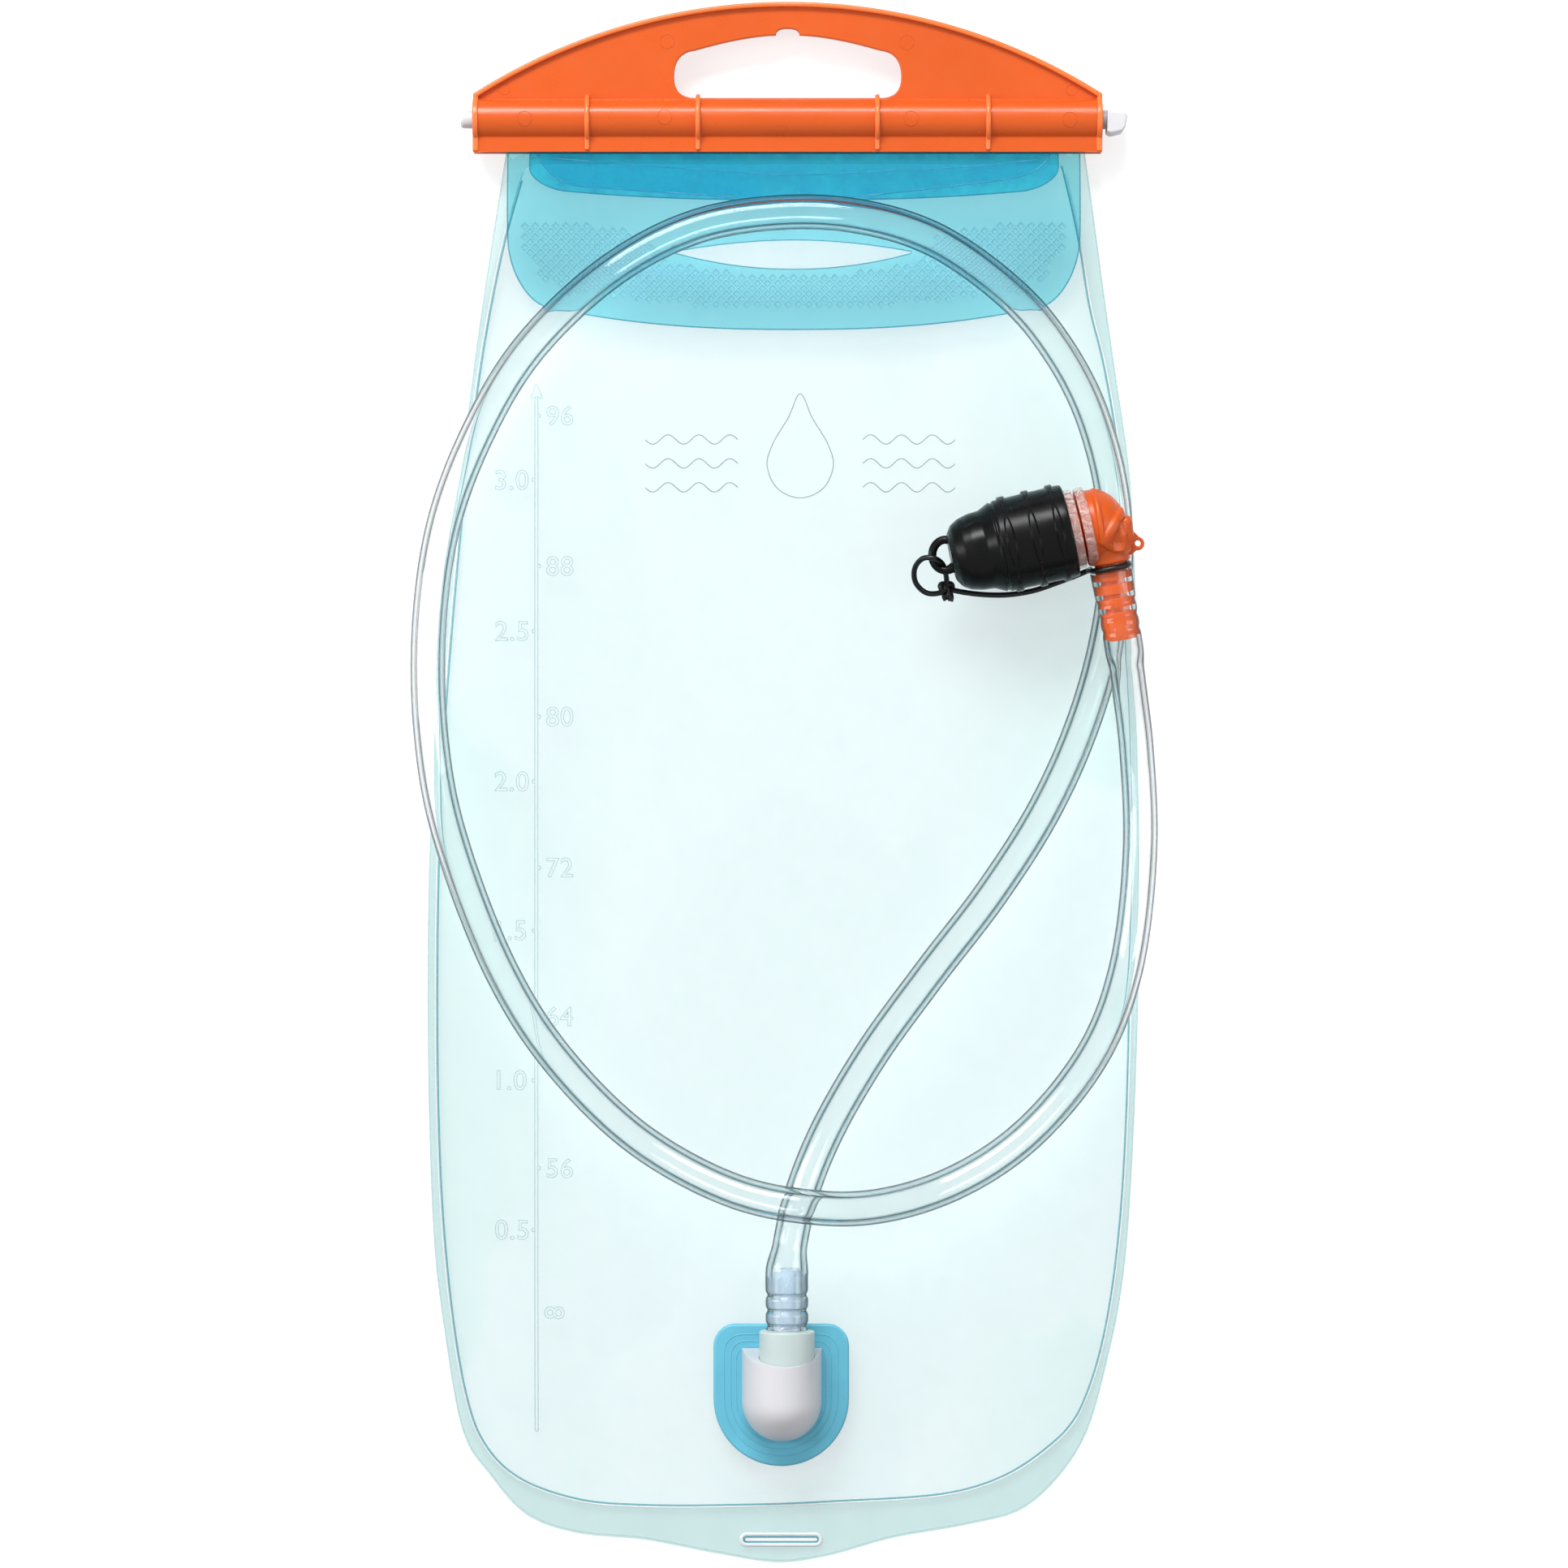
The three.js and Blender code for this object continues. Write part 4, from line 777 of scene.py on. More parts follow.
def film_rings():
    rings = [(loop_dir * (loop_reach * share)[:, None], 0.0) for share in np.linspace(0.06, 0.985, 40)]
    for off, rise in ((-0.85, 0.0), (-0.5, 0.22), (-0.15, 0.34), (0.2, 0.3), (0.5, 0.0)):
        rings.append((loop_dir * np.minimum(loop_reach + off, loop_r - 0.45)[:, None], rise))
    for share in (0.3, 0.65):
        r = loop_reach + 0.5 + (loop_r - loop_reach - 0.5) * share
        rings.append((loop_dir * np.minimum(r, loop_r - 0.42)[:, None], 0.0))
    rings.append((loop_dir * (loop_r - 0.4)[:, None], 0.0))
    rings.append((loop_dir * (loop_r - 0.12)[:, None], 0.08))
    return rings


def film_mesh(under, top_rise):
    rings = film_rings()
    count = len(film_loop)
    flat = np.concatenate([[[0, 0]]] + [r for r, _ in rings] + [film_loop])
    rise = np.concatenate([[0]] + [np.full(count, h * top_rise) for _, h in rings] + [np.zeros(count)])
    low = under(flat[:, 0], flat[:, 1])
    top = np.column_stack([flat, low + FILM + rise])
    bottom = np.column_stack([flat, low])
    total = len(flat)
    layers = len(rings) + 1
    ring = [tuple(i + 1 for i in f) for f in grid_faces(layers, count, False, True)]
    faces = ring + [tuple(i + total for i in reversed(f)) for f in ring]
    outer = 1 + (layers - 1) * count
    for k in range(count):
        n = (k + 1) % count
        faces.append((0, 1 + k, 1 + n))
        faces.append((total, total + 1 + n, total + 1 + k))
        faces.append((outer + k, outer + n, total + outer + n, total + outer + k))
    return np.concatenate([top, bottom]), faces


def ripple(x, y):
    share = np.minimum(1, np.hypot(x, y) / seam_reach(x, y))
    wave = np.array([noise.noise(Vector((a / 38.0, b / 60.0, 3.1))) for a, b in zip(x, y)])
    return (wave - 0.7) * 0.45 * (1 - share**4)


TAB = {"x": -0.8, "y": -205.7, "half": 9.4, "r": 0.9}
SLOT_POINTS = 28


def tab_slot_loop(grow):
    r, count = TAB["r"] + grow, SLOT_POINTS // 2
    right = arc(TAB["x"] + TAB["half"], TAB["y"], r, -math.pi / 2, math.pi / 2, count)
    left = arc(TAB["x"] - TAB["half"], TAB["y"], r, math.pi / 2, 1.5 * math.pi, count)
    return right + left


def cut_slot(obj):
    tool = scratch("slot_tool", prism(tab_slot_loop(0.25), -1.0, 4.0, 0.05, steps=1))
    return combine(obj, [tool], "DIFFERENCE")


def rim_beyond_seam(obj):
    """The welded border has its own material."""
    obj.data.materials.append(M["rim_film"])
    order = np.argsort(np.arctan2(film_loop[:, 1], film_loop[:, 0]))
    angles = np.arctan2(film_loop[:, 1], film_loop[:, 0])[order]
    for face in obj.data.polygons:
        x, y = face.center.x / MM, face.center.y / MM
        border = np.interp(math.atan2(y, x), angles, loop_reach[order], period=2 * math.pi) + 0.3
        if math.hypot(x, y) > border and y < MOUTH_Y - 1.5:
            face.material_index = 1


def front_under(x, y):
    """The front film's lower face, which comes down on the back film towards the seam."""
    near_seam = smooth((np.hypot(x, y) / seam_reach(x, y) - 0.9) / 0.1)
    return front_z(x, y) + ripple(x, y) - (GAP - 0.06) * near_seam * (np.hypot(x, y) < 240)


back = piece("back_film_sheet", *film_mesh(lambda x, y: back_z(y), 0.0), "clear_film")
cut_slot(back)
dress(back, "clear_film", "bag", ["back_film"], sharp=60)
rim_beyond_seam(back)
front = piece("front_film_sheet", *film_mesh(front_under, 1.0), "clear_film")
cut_slot(front)
dress(front, "clear_film", "bag", ["front_film"], sharp=60)
rim_beyond_seam(front)

# The weld is a line of melted film, a bead whose dark teal tint is painted shade, with a pale bead on its inner side
# as a painted highlight.


def weld_top(x, y):
    return film_top(x, y) + 0.12


seam_points = respace(catmull([(74.2, 171.6)] + SEAM + [(-68.8, 171.6)]), 430)
inner_seam = inset(seam_points[::-1], -0.55)
piece("weld_seam_line", *sunk_line(seam_points[2:-2:3], 0.22, weld_top), "weld_film", "bag", "clear_film")
highlight_line = sunk_line(inner_seam[::-1][3:-3:3], 0.18, weld_top)
piece("weld_seam_highlight", *highlight_line, "weld_shine", "bag", "clear_film")
edge_points = respace(catmull(EDGE), 400) * 0.9975
edge_bead = sunk_line(edge_points[::3], 0.16, lambda x, y: film_top(x, y) - 0.02)
piece("border_cut_edge", *edge_bead, "rim_film", "bag", "clear_film")

# The melted rim of the tab's slot: sloping inner walls under a raised bead.
rim_levels = [(1.05, 0.95), (0.85, 1.2), (0.45, 1.32), (0.1, 1.15), (-0.1, 0.7), (-0.3, -0.2), (1.05, -0.2)]
rim_verts = [(x, y, z) for grow, z in rim_levels for x, y in tab_slot_loop(grow)]
rim_faces = grid_faces(len(rim_levels), SLOT_POINTS, True, True)
piece("tab_slot_rim", rim_verts, rim_faces, "weld_shine", "bag", "clear_film", sharp=80)

slit_loop = tab_slot_loop(-0.12)
slit_wall = [(x, y, 0.75) for x, y in respace(np.array(slit_loop + slit_loop[:1]), 90)[:-1]]
piece("tab_slot_wall", *tube(slit_wall, 0.34, 10, True), "edge_film", "bag", "clear_film")


def hidden_wrap(radius, level, steps):
    """The part of a mouth strip that is folded round the rod, in (Y, Z)."""
    start = math.asin(level / radius)
    path = [(MOUTH_Y + GAP, ROD_Z - level), (ROD_Y - radius * math.cos(start) - 0.5, ROD_Z - level)]
    for i in range(steps + 1):
        a = math.pi + start + (2 * math.pi - 2 * start) * i / steps
        path.append((ROD_Y + radius * math.cos(a), ROD_Z + radius * math.sin(a)))
    return path + [(ROD_Y - radius * math.cos(start) - 0.5, ROD_Z + level), (LIP_Y, ROD_Z + level)]


def strip_columns(strip, count):
    even = np.linspace(-1, 1, count)
    eased = np.sin(even * math.pi / 2) * 0.45 + even * 0.55
    return (strip["left"] + strip["right"]) / 2 + (strip["right"] - strip["left"]) / 2 * eased


def strip_sheet(name, columns, wrap, blocks, lift, material, stands_for):
    """A mouth strip: the fold round the rod, then blocks of rows that lie on the front film."""
    verts, faces = [], []
    for b, rows in enumerate(blocks):
        start = len(verts)
        height = 0
        for x, ys in zip(columns, rows):
            column = [(x, y, z) for y, z in wrap] if b == 0 else []
            middle = front_z(np.full(len(ys), x), ys) + FILM + lift(ys) + FILM / 2
            column += [(x, y, z) for y, z in zip(ys, middle)]
            height = len(column)
            verts += column
        faces += [tuple(start + i for i in f) for f in grid_faces(len(columns), height)]
    obj = piece(name, verts, faces, material)
    thick = obj.modifiers.new("thick", "SOLIDIFY")
    thick.thickness, thick.offset = FILM * MM, 0.0
    applied(obj)
    return dress(obj, material, "bag", stands_for, sharp=60)


def lens(x):
    """The middle line of the flap's lens-shaped hole, and how far it opens to each side."""
    middle = LIP_Y + (lower_edge(FLAP, x) - LIP_Y) * 0.575
    return middle, LENS_RISE * np.clip(1 - ((x - LENS_MID) / LENS_HALF) ** 2, 0, 1)


lens_ends = [LENS_MID - LENS_HALF, LENS_MID + LENS_HALF]
columns = np.unique(np.concatenate([strip_columns(FLAP, 150), lens_ends]))
low_at = lower_edge(FLAP, columns)
lens_line, lens_open = lens(columns)
upper_rows = [np.linspace(LIP_Y, m + o, 26)[1:] for m, o in zip(lens_line, lens_open)]
lower_rows = [np.linspace(m - o, low, 26) for m, o, low in zip(lens_line, lens_open, low_at)]
outer_wrap = hidden_wrap(OUTER_WRAP_R, OUTER_LEVEL, 24)
flap_rows = [upper_rows, lower_rows]
flap = strip_sheet("grip_flap_sheet", columns, outer_wrap, flap_rows, flap_lift, "blue_film", ["grip_flap"])

lip_columns = strip_columns(LIP, 110)
lip_rows = [np.linspace(LIP_Y, low, 14)[1:] for low in lower_edge(LIP, lip_columns)]
inner_wrap = hidden_wrap(INNER_WRAP_R, INNER_LEVEL, 20)
lip = strip_sheet(
    "inner_lip_sheet", lip_columns, inner_wrap, [lip_rows], lip_lift, "dark_blue_film", ["inner_lip"],
)

# The turned-in edge of the lip, one more layer of film, and a crease beside it.
FOLD = [
    (-67.3, 171.0), (-65.6, 168.3), (-62.6, 165.0), (-58.5, 162.7), (-45.3, 161.3), (-25.5, 159.9),
    (-11.2, 158.9), (2.0, 158.7), (16.3, 159.0), (33.0, 160.6), (51.5, 162.8), (62.0, 164.2),
    (67.6, 166.0), (70.6, 168.4), (72.4, 171.0),
]
FOLD_COLS, FOLD_ROWS = 160, 10
FOLD_POINTS = FOLD_COLS * FOLD_ROWS
fold_line = respace(catmull(FOLD), FOLD_COLS)
fold_top = np.column_stack([fold_line[:, 0], np.full(FOLD_COLS, LIP_Y + 1.2)])
fold_grid = np.concatenate([fold_top * (1 - t) + fold_line * t for t in np.linspace(0, 1, FOLD_ROWS)])


def fold_z(x, y):
    return front_z(x, y) + FILM + lip_lift(y) - 0.08


fold_low = np.column_stack([fold_grid, fold_z(*fold_grid.T) - 0.12])
fold_high = np.column_stack([fold_grid, fold_z(*fold_grid.T)])
fold_faces = grid_faces(FOLD_ROWS, FOLD_COLS)
fold_faces += [tuple(i + FOLD_POINTS for i in reversed(f)) for f in fold_faces]
outline = [
    *range(FOLD_COLS), *range(2 * FOLD_COLS - 1, FOLD_POINTS, FOLD_COLS),
    *range(FOLD_POINTS - 2, FOLD_POINTS - FOLD_COLS - 1, -1), *range(FOLD_POINTS - 2 * FOLD_COLS, 0, -FOLD_COLS),
]
fold_faces += [(a, b, b + FOLD_POINTS, a + FOLD_POINTS) for a, b in zip(outline, outline[1:] + outline[:1])]
fold_verts = np.concatenate([fold_high, fold_low])
piece("lip_turned_edge", fold_verts, fold_faces, "fold_film", "bag", "dark_blue_film", sharp=60)


def flap_skin(x, y):
    return flap_top(x, y) - 0.02


CREASE = [
    (-62.9, 169.6), (-38.0, 167.6), (-14.5, 165.9), (0.9, 165.0), (25.0, 165.9), (51.5, 167.4), (69.0, 169.2),
]
# The beads along the fold's edge and the crease take the dark lip film: painted shade in the creases.
creases = merged([sunk_line(FOLD, 0.2, flap_skin), sunk_line(CREASE, 0.14, flap_skin)])
piece("flap_creases", *creases, "dark_blue_film", "bag", "dark_blue_film")

# The flap, its hole and the lip have a thin darker cut edge.


def strip_outline(strip, inset_by=0.15):
    x = np.linspace(strip["left"] + inset_by, strip["right"] - inset_by, 220)
    low = lower_edge(strip, x) + inset_by
    return [(x[0], LIP_Y - 0.5), *zip(x, low), (x[-1], LIP_Y - 0.5)]


edge_x = np.linspace(LENS_MID - LENS_HALF + 0.4, LENS_MID + LENS_HALF - 0.4, 60)
edge_mid, edge_open = lens(edge_x)
edge_open = edge_open + 0.15
hole_edge = [*zip(edge_x, edge_mid + edge_open), *zip(edge_x[::-1], (edge_mid - edge_open)[::-1])]
edges = merged([
    sunk_line(strip_outline(FLAP), 0.17, flap_skin),
    sunk_line(strip_outline(LIP), 0.15, flap_skin),
    sunk_line(hole_edge, 0.15, flap_skin, 8, True),
])
piece("flap_cut_edges", *edges, "edge_film", "bag", "blue_film")

# The flap's grip: a lattice of diagonal ridges round small square pits.
PITCH = 2.8
RIDGE_H = 0.42


def in_grip(x, y):
    if not -70.6 < x < 75.4:
        return False
    off = abs(x - LENS_MID) / 73.0
    low = 129.3 + 7.2 * off**2.2 + 9.0 * max(0.0, (off - 0.86) / 0.14) ** 2
    high = 152.6
    middle = abs(x - LENS_MID) < LENS_HALF + 6
    if middle:
        high = 143.2 - LENS_RISE * max(0.0, 1 - ((x - LENS_MID) / (LENS_HALF + 2)) ** 2) - 1.6
        shoulder = max(0.0, (abs(x - LENS_MID) - LENS_HALF) / 6)
        high += shoulder * 6
    else:
        high = min(152.6, 149.0 + (abs(x - LENS_MID) - LENS_HALF - 6) * 0.13)
    return low < y < high


cells = []
for j in range(-3, 24):
    for i in range(-27, 29):
        cx, cy = LENS_MID + i * PITCH + (j % 2) * PITCH / 2, 126.0 + j * PITCH / 2
        if in_grip(cx, cy):
            cells.append((cx, cy))
grip_verts, grip_faces = [], []
for cx, cy in cells:
    start = len(grip_verts)
    for share, h in ((1.0, RIDGE_H), (0.74, RIDGE_H - 0.06), (0.5, 0.06), (1.0, -0.05)):
        for dx, dy in ((1, 0), (0, 1), (-1, 0), (0, -1)):
            x, y = cx + dx * share * PITCH / 2, cy + dy * share * PITCH / 2
            grip_verts.append((x, y, h))
    for ring in (0, 1):
        low = start + ring * 4
        grip_faces += [(low + k, low + (k + 1) % 4, low + 4 + (k + 1) % 4, low + 4 + k) for k in range(4)]
    grip_faces.append((start + 8, start + 9, start + 10, start + 11))
    grip_faces.append((start + 15, start + 14, start + 13, start + 12))
grip_verts = np.array(grip_verts)
grip_verts[:, 2] += flap_top(grip_verts[:, 0], grip_verts[:, 1])
grip = piece("flap_grip_lattice", grip_verts, grip_faces, "blue_film")
bm = bmesh.new()
bm.from_mesh(grip.data)
open_edges = [e for e in bm.edges if len(e.link_faces) == 1]
links = {}
for e in open_edges:
    for v in e.verts:
        links.setdefault((round(v.co.x, 7), round(v.co.y, 7)), []).append(v)
for e in open_edges:
    a, b = e.verts
    if a.co.z < flap_top(a.co.x / MM, a.co.y / MM) * MM:
        continue
    pair = []
    for v in (b, a):
        same = links[(round(v.co.x, 7), round(v.co.y, 7))]
        pair.append(min(same, key=lambda q: q.co.z))
    if len({a, b, *pair}) == 4:
        try:
            bm.faces.new((a, b, *pair))
        except ValueError:
            pass
bmesh.ops.recalc_face_normals(bm, faces=bm.faces)
bm.to_mesh(grip.data)
bm.free()
dress(grip, "grip_film", "bag", sharp=20)

# ---------- raised scale and mark on the front film ----------


def text_outline(body, x, y, height, turn=0.0):
    """The outline of a number as a thin bead that lies on the film, centred on (x, y)."""
    data = bpy.data.curves.new("number", "FONT")
    data.body = body
    data.fill_mode = "NONE"
    data.bevel_depth = 0.1 * MM
    data.offset = 0.02 * MM
    data.bevel_resolution = 1
    data.size = height * MM * 1.42
    data.space_character = 1.06
    obj = bpy.data.objects.new("number", data)
    scene.collection.objects.link(obj)
    bpy.context.view_layer.update()
    mesh = bpy.data.meshes.new_from_object(obj.evaluated_get(bpy.context.evaluated_depsgraph_get()))
    co = np.array([v.co for v in mesh.vertices]) / MM
    faces = [tuple(p.vertices) for p in mesh.polygons]
    bpy.data.objects.remove(obj)
    bpy.data.meshes.remove(mesh)
    middle = (co[:, :2].max(0) + co[:, :2].min(0)) / 2
    flat = co[:, :2] - middle
    c, s = math.cos(turn), math.sin(turn)
    flat = np.column_stack([flat[:, 0] * c - flat[:, 1] * s + x, flat[:, 0] * s + flat[:, 1] * c + y])
    rise = film_top(*flat.T) + ripple(*flat.T) + 0.02
    return np.column_stack([flat, co[:, 2] + rise]), faces


def on_film(x, y):
    return film_top(x, y) + ripple(x, y) + 0.02


SCALE_X, SCALE_HALF, SCALE_TOP, SCALE_END = -67.3, 0.42, 105.0, -175.8
LITRES = [("3.0", 82.7), ("2.5", 41.6), ("2.0", 0.7), ("1.5", -39.8), ("1.0", -80.5), ("0.5", -121.2)]
OUNCES = [("96", 100.1), ("88", 59.2), ("80", 18.3), ("72", -22.7), ("64", -63.1), ("56", -104.3)]
ARROW = [(-68.9, 104.6), (-68.2, 106.6), (-67.3, 108.9), (-66.3, 106.6), (-65.6, 104.6), (-67.3, 105.4)]
marks = []
for numbers, text_x, height, tick_x, turn in ((LITRES, -74.0, 5.3, -67.95, 0.5), (OUNCES, -60.9, 5.2, -66.65, -0.5)):
    for body, y in numbers:
        marks.append(text_outline(body, text_x, y, height))
        tick = arc(tick_x, y, 0.5, turn * math.pi, (turn + 1) * math.pi, 7)
        marks.append(sunk_line(tick, 0.12, on_film, 6))
marks.append(text_outline("8", -62.4, -143.7, 5.3, math.pi / 2))
for side in (-SCALE_HALF, SCALE_HALF):
    rail = [(SCALE_X + side, y) for y in np.linspace(SCALE_TOP, SCALE_END, 40)]
    marks.append(sunk_line(rail, 0.11, on_film, 6))
foot = [(SCALE_X - SCALE_HALF, SCALE_END), (SCALE_X, SCALE_END - 0.4), (SCALE_X + SCALE_HALF, SCALE_END)]
marks.append(sunk_line(foot, 0.11, on_film, 6))
marks.append(sunk_line(ARROW, 0.12, on_film, 6, True))
# The marks are raised beads; their darker tint is painted shade.
piece("scale_numbers", *merged(marks), "scale_mark", "bag", "clear_film")

# A plain water drop between two waves, as a thin outline.
DROP = [
    (4.4, 106.0), (1.2, 99.5), (-3.2, 92.0), (-4.6, 86.5), (-1.8, 80.2),
    (4.4, 77.6), (10.6, 80.2), (13.4, 86.5), (12.0, 92.0), (7.6, 99.5),
]
emblem = [sunk_line(DROP, 0.13, on_film, 6, True)]
for side in (-1, 1):
    for level in (80.5, 87.0, 93.5):
        wave = [(4.4 + side * (17.0 + k), level + 1.3 * math.sin(k * 0.75)) for k in range(26)]
        emblem.append(sunk_line(wave, 0.13, on_film, 6))
piece("printed_drop_outline", *merged(emblem), "print_line", "bag", "clear_film")

# ---------- closure ----------


def arch(inset_by):
    """The handle's arch, from right to left, and half its width."""
    half, r = (BAR_RIGHT - BAR_LEFT) / 2 - inset_by, ARCH_R - inset_by
    a = math.acos(half / r)
    return half, arc(BAR_MID, ARCH_TOP - ARCH_R, r, a, math.pi - a, 90)


def arch_band(width, low):
    """The raised rim that follows the handle's arch and both its ends."""
    (outer_half, outer), (inner_half, inner) = arch(0.0), arch(width)
    left_foot = [(BAR_MID - outer_half, low), (BAR_MID - inner_half, low)]
    return [(BAR_MID + outer_half, low), *outer, *left_foot, *inner[::-1], (BAR_MID + inner_half, low)]


def arch_plate(low):
    half, line = arch(0.3)
    return [(BAR_MID - half, low), (BAR_MID + half, low), *line]


def handle_loop():
    """The handle's hole with its thumb notch, clockwise."""
    half, low, side_top, top, r = 30.8, 186.0, 198.9, 203.0, 5.7
    notch_half, notch_top = 3.2, 204.8
    bends = [
        (half - r, low), (half, low), (half, low + r), (half, side_top - 0.5), (half - r, side_top),
        (12, top - 0.3), (notch_half, top), (notch_half, notch_top), (0, notch_top),
    ]
    right = [bends[0]]
    for a, b, c in zip(bends[::2], bends[1::2], bends[2::2]):
        right += quad_curve(a, b, c)
    left = [(-x, y) for x, y in right[-2::-1]]
    return [(BAR_MID + x, y) for x, y in [left[-1], *right, *left[:-1]]][::-1]


def channel(outer_r, lip_out, inner_r, inner_half, low):
    """The closure's C-shaped section, in (Y, Z)."""
    a, b = math.asin(lip_out / outer_r), math.asin(inner_half / inner_r)
    loop = [(low, ROD_Z - lip_out)]
    loop += arc(ROD_Y, ROD_Z, outer_r, -math.pi + a, math.pi - a, 40)
    loop += [(low, ROD_Z + lip_out), (low, ROD_Z + inner_half)]
    loop += arc(ROD_Y, ROD_Z, inner_r, math.pi - b, -math.pi + b, 40)
    return loop + [(low, ROD_Z - inner_half)]


def along_x(verts):
    return np.column_stack([verts[:, 2], verts[:, 0], verts[:, 1]])


web_low = ROD_Y + BORE_R + 0.6
WEB_HALF, RIB_HALF, END_RIM = 1.1, 0.65, 1.5
RIB_AT = [BAR_MID + x for x in (-54.3, -24.3, 24.3, 54.3)]
bar_section = channel(TUBE_R, LIP_OUT, BORE_R, SLOT_HALF, LIP_Y)
bar = scratch("bar", prism(bar_section, BAR_LEFT, BAR_RIGHT, 0.28, to_space=along_x))
others = [
    scratch("web", prism(arch_plate(web_low), ROD_Z - WEB_HALF, ROD_Z + WEB_HALF, 0.35, holes=[handle_loop()])),
    scratch("rim", prism(arch_band(1.35, web_low + 0.05), ROD_Z - 2.6, ROD_Z + 2.6, 0.5)),
]
for x in RIB_AT:
    rib = channel(RIB_R, LIP_OUT + 0.8, 4.95, LIP_OUT - 0.8, LIP_Y + 0.6)
    others.append(scratch("rib", prism(rib, x - RIB_HALF, x + RIB_HALF, 0.5, to_space=along_x)))
for x in (BAR_LEFT, BAR_RIGHT - END_RIM):
    end = channel(TUBE_R + 0.55, LIP_OUT + 0.45, 4.95, LIP_OUT - 0.8, LIP_Y + 0.3)
    others.append(scratch("end_rim", prism(end, x, x + END_RIM, 0.4, to_space=along_x)))
slider = combine(bar, others)
slider.name = "slide_closure"
dress(slider, "orange_plastic", "closure", ["slider"], sharp=42, even=True)
# Painted highlight: the ribs, the arch's rim and the bar's ends take the lighter orange.
slider.data.materials.append(M["orange_painted_highlight"])
for face in slider.data.polygons:
    x, y, z = face.center / MM
    over_tube = math.hypot(y - ROD_Y, z - ROD_Z) > TUBE_R + 0.25 and y < web_low + 1.0
    on_rib = min(abs(x - r) for r in RIB_AT) < RIB_HALF - 0.03 and (over_tube or z > ROD_Z + LIP_OUT + 0.2)
    on_rim = y > web_low + 0.6 and abs(z - ROD_Z) > 1.5
    at_end = over_tube and not BAR_LEFT + END_RIM <= x <= BAR_RIGHT - END_RIM
    if on_rib or on_rim or at_end:
        face.material_index = 1


def tube_skin(x, y):
    return ROD_Z + np.sqrt(np.maximum(0.1, TUBE_R**2 - (y - ROD_Y) ** 2)) + 0.0 * x


def web_skin(x, y):
    return np.full_like(x, ROD_Z + WEB_HALF)


MOULD_RINGS = [
    (-70.18, 179.96, 1.95, tube_skin), (-32.34, 180.4, 1.95, tube_skin), (34.32, 179.96, 1.95, tube_skin),
    (77.22, 179.74, 1.95, tube_skin), (-31.68, 201.3, 1.95, web_skin), (33.22, 201.08, 1.95, web_skin),
    (-75.9, 188.32, 1.5, web_skin), (77.88, 188.1, 1.5, web_skin),
]
mould_rings = [
    sunk_line(arc(x, y, r, 0, 2 * math.pi, 13)[:-1], 0.1, skin, 8, True) for x, y, r, skin in MOULD_RINGS
]
piece("closure_mould_rings", *merged(mould_rings), "orange_plastic", "closure", "orange_plastic")

rod_profile = fillet([
    (-87.6, 0.0), (-87.6, 2.1), (-87.0, 2.4), (-84.8, 2.45), (-83.0, ROD_R), (88.4, ROD_R), (88.4, 0.0),
], 0.5)
rod = scratch("rod", lathe(rod_profile, (0, ROD_Y, ROD_Z), (1, 0, 0), 48))
hook = [
    (87.4, 176.6), (88.6, 176.0), (91.5, 176.7), (92.4, 177.9), (92.9, 180.7), (92.4, 181.8), (87.4, 182.2),
]
rod = combine(rod, [scratch("hook", prism(hook, ROD_Z - 4.7, ROD_Z + 4.7, 0.55))])
rod.name = "closure_rod_white"
dress(rod, "white_plastic", "bag", ["closure_rod"], sharp=40, even=True)

# ---------- outlet port ----------


def d_loop(inset_by):
    r, top, corner = PORT_HALF - inset_by, PORT_TOP - inset_by, max(1.5, 6.0 - inset_by * 0.45)
    loop = arc(PORT_X, PORT_Y, r, math.pi, 2 * math.pi, 30)
    loop += arc(PORT_X + r - corner, top - corner, corner, 0, math.pi / 2, 12)
    return loop + arc(PORT_X - r + corner, top - corner, corner, math.pi / 2, math.pi, 12)


flange = scratch("flange", prism(d_loop(0.0), FLANGE_Z, FLANGE_Z + FLANGE_T, 0.7, steps=4))
flange.name = "port_flange_blue"
dress(flange, "blue_plastic", "bag", ["port_flange"], sharp=50, even=True)


def flange_skin(x, y):
    return np.full_like(x, FLANGE_Z + FLANGE_T - 0.04)


ridges = merged([sunk_line(d_loop(d), 0.17, flange_skin, 8, True) for d in (2.9, 4.7, 6.2)])
piece("port_flange_ridges", *ridges, "blue_plastic", "bag", "blue_plastic")

arch_angles = np.linspace(0, math.pi, 41)
sections = []
for t in np.linspace(0, 1, 16)[::-1]:
    a = t * math.pi / 2
    sections.append((HOUSE_BACK_Y - HOUSE_HALF * math.sin(a), max(0.004, math.cos(a))))
sections += [(y, 1.0) for y in np.linspace(HOUSE_BACK_Y, HOUSE_FRONT_Y, 12)[1:]]
house_verts = []
for y, size in sections:
    for a in arch_angles:
        z = HOUSE_H * size * math.sin(a) ** 0.9
        limit = HOUSE_FRONT_Y + (HOUSE_FRONT_TOP_Y - HOUSE_FRONT_Y) * max(0.0, (z - 4) / (HOUSE_H - 4))
        house_verts.append((HOUSE_X + HOUSE_HALF * size * math.cos(a), min(y, limit), HOUSE_Z + z))
rows, cols = len(sections), len(arch_angles)
house_faces = grid_faces(rows, cols)
house_faces.append(tuple((rows - 1) * cols + k for k in range(cols)))
house_faces += [(i, i + cols, i + 2 * cols - 1, i + cols - 1) for i in range(0, (rows - 1) * cols, cols)]
house_faces.append(tuple(range(cols))[::-1])
housing = piece("port_housing_dome", house_verts, house_faces, "white_plastic")
PORT_AXIS = (COLLAR_X, 0, COLLAR_Z), (0, 1, 0)
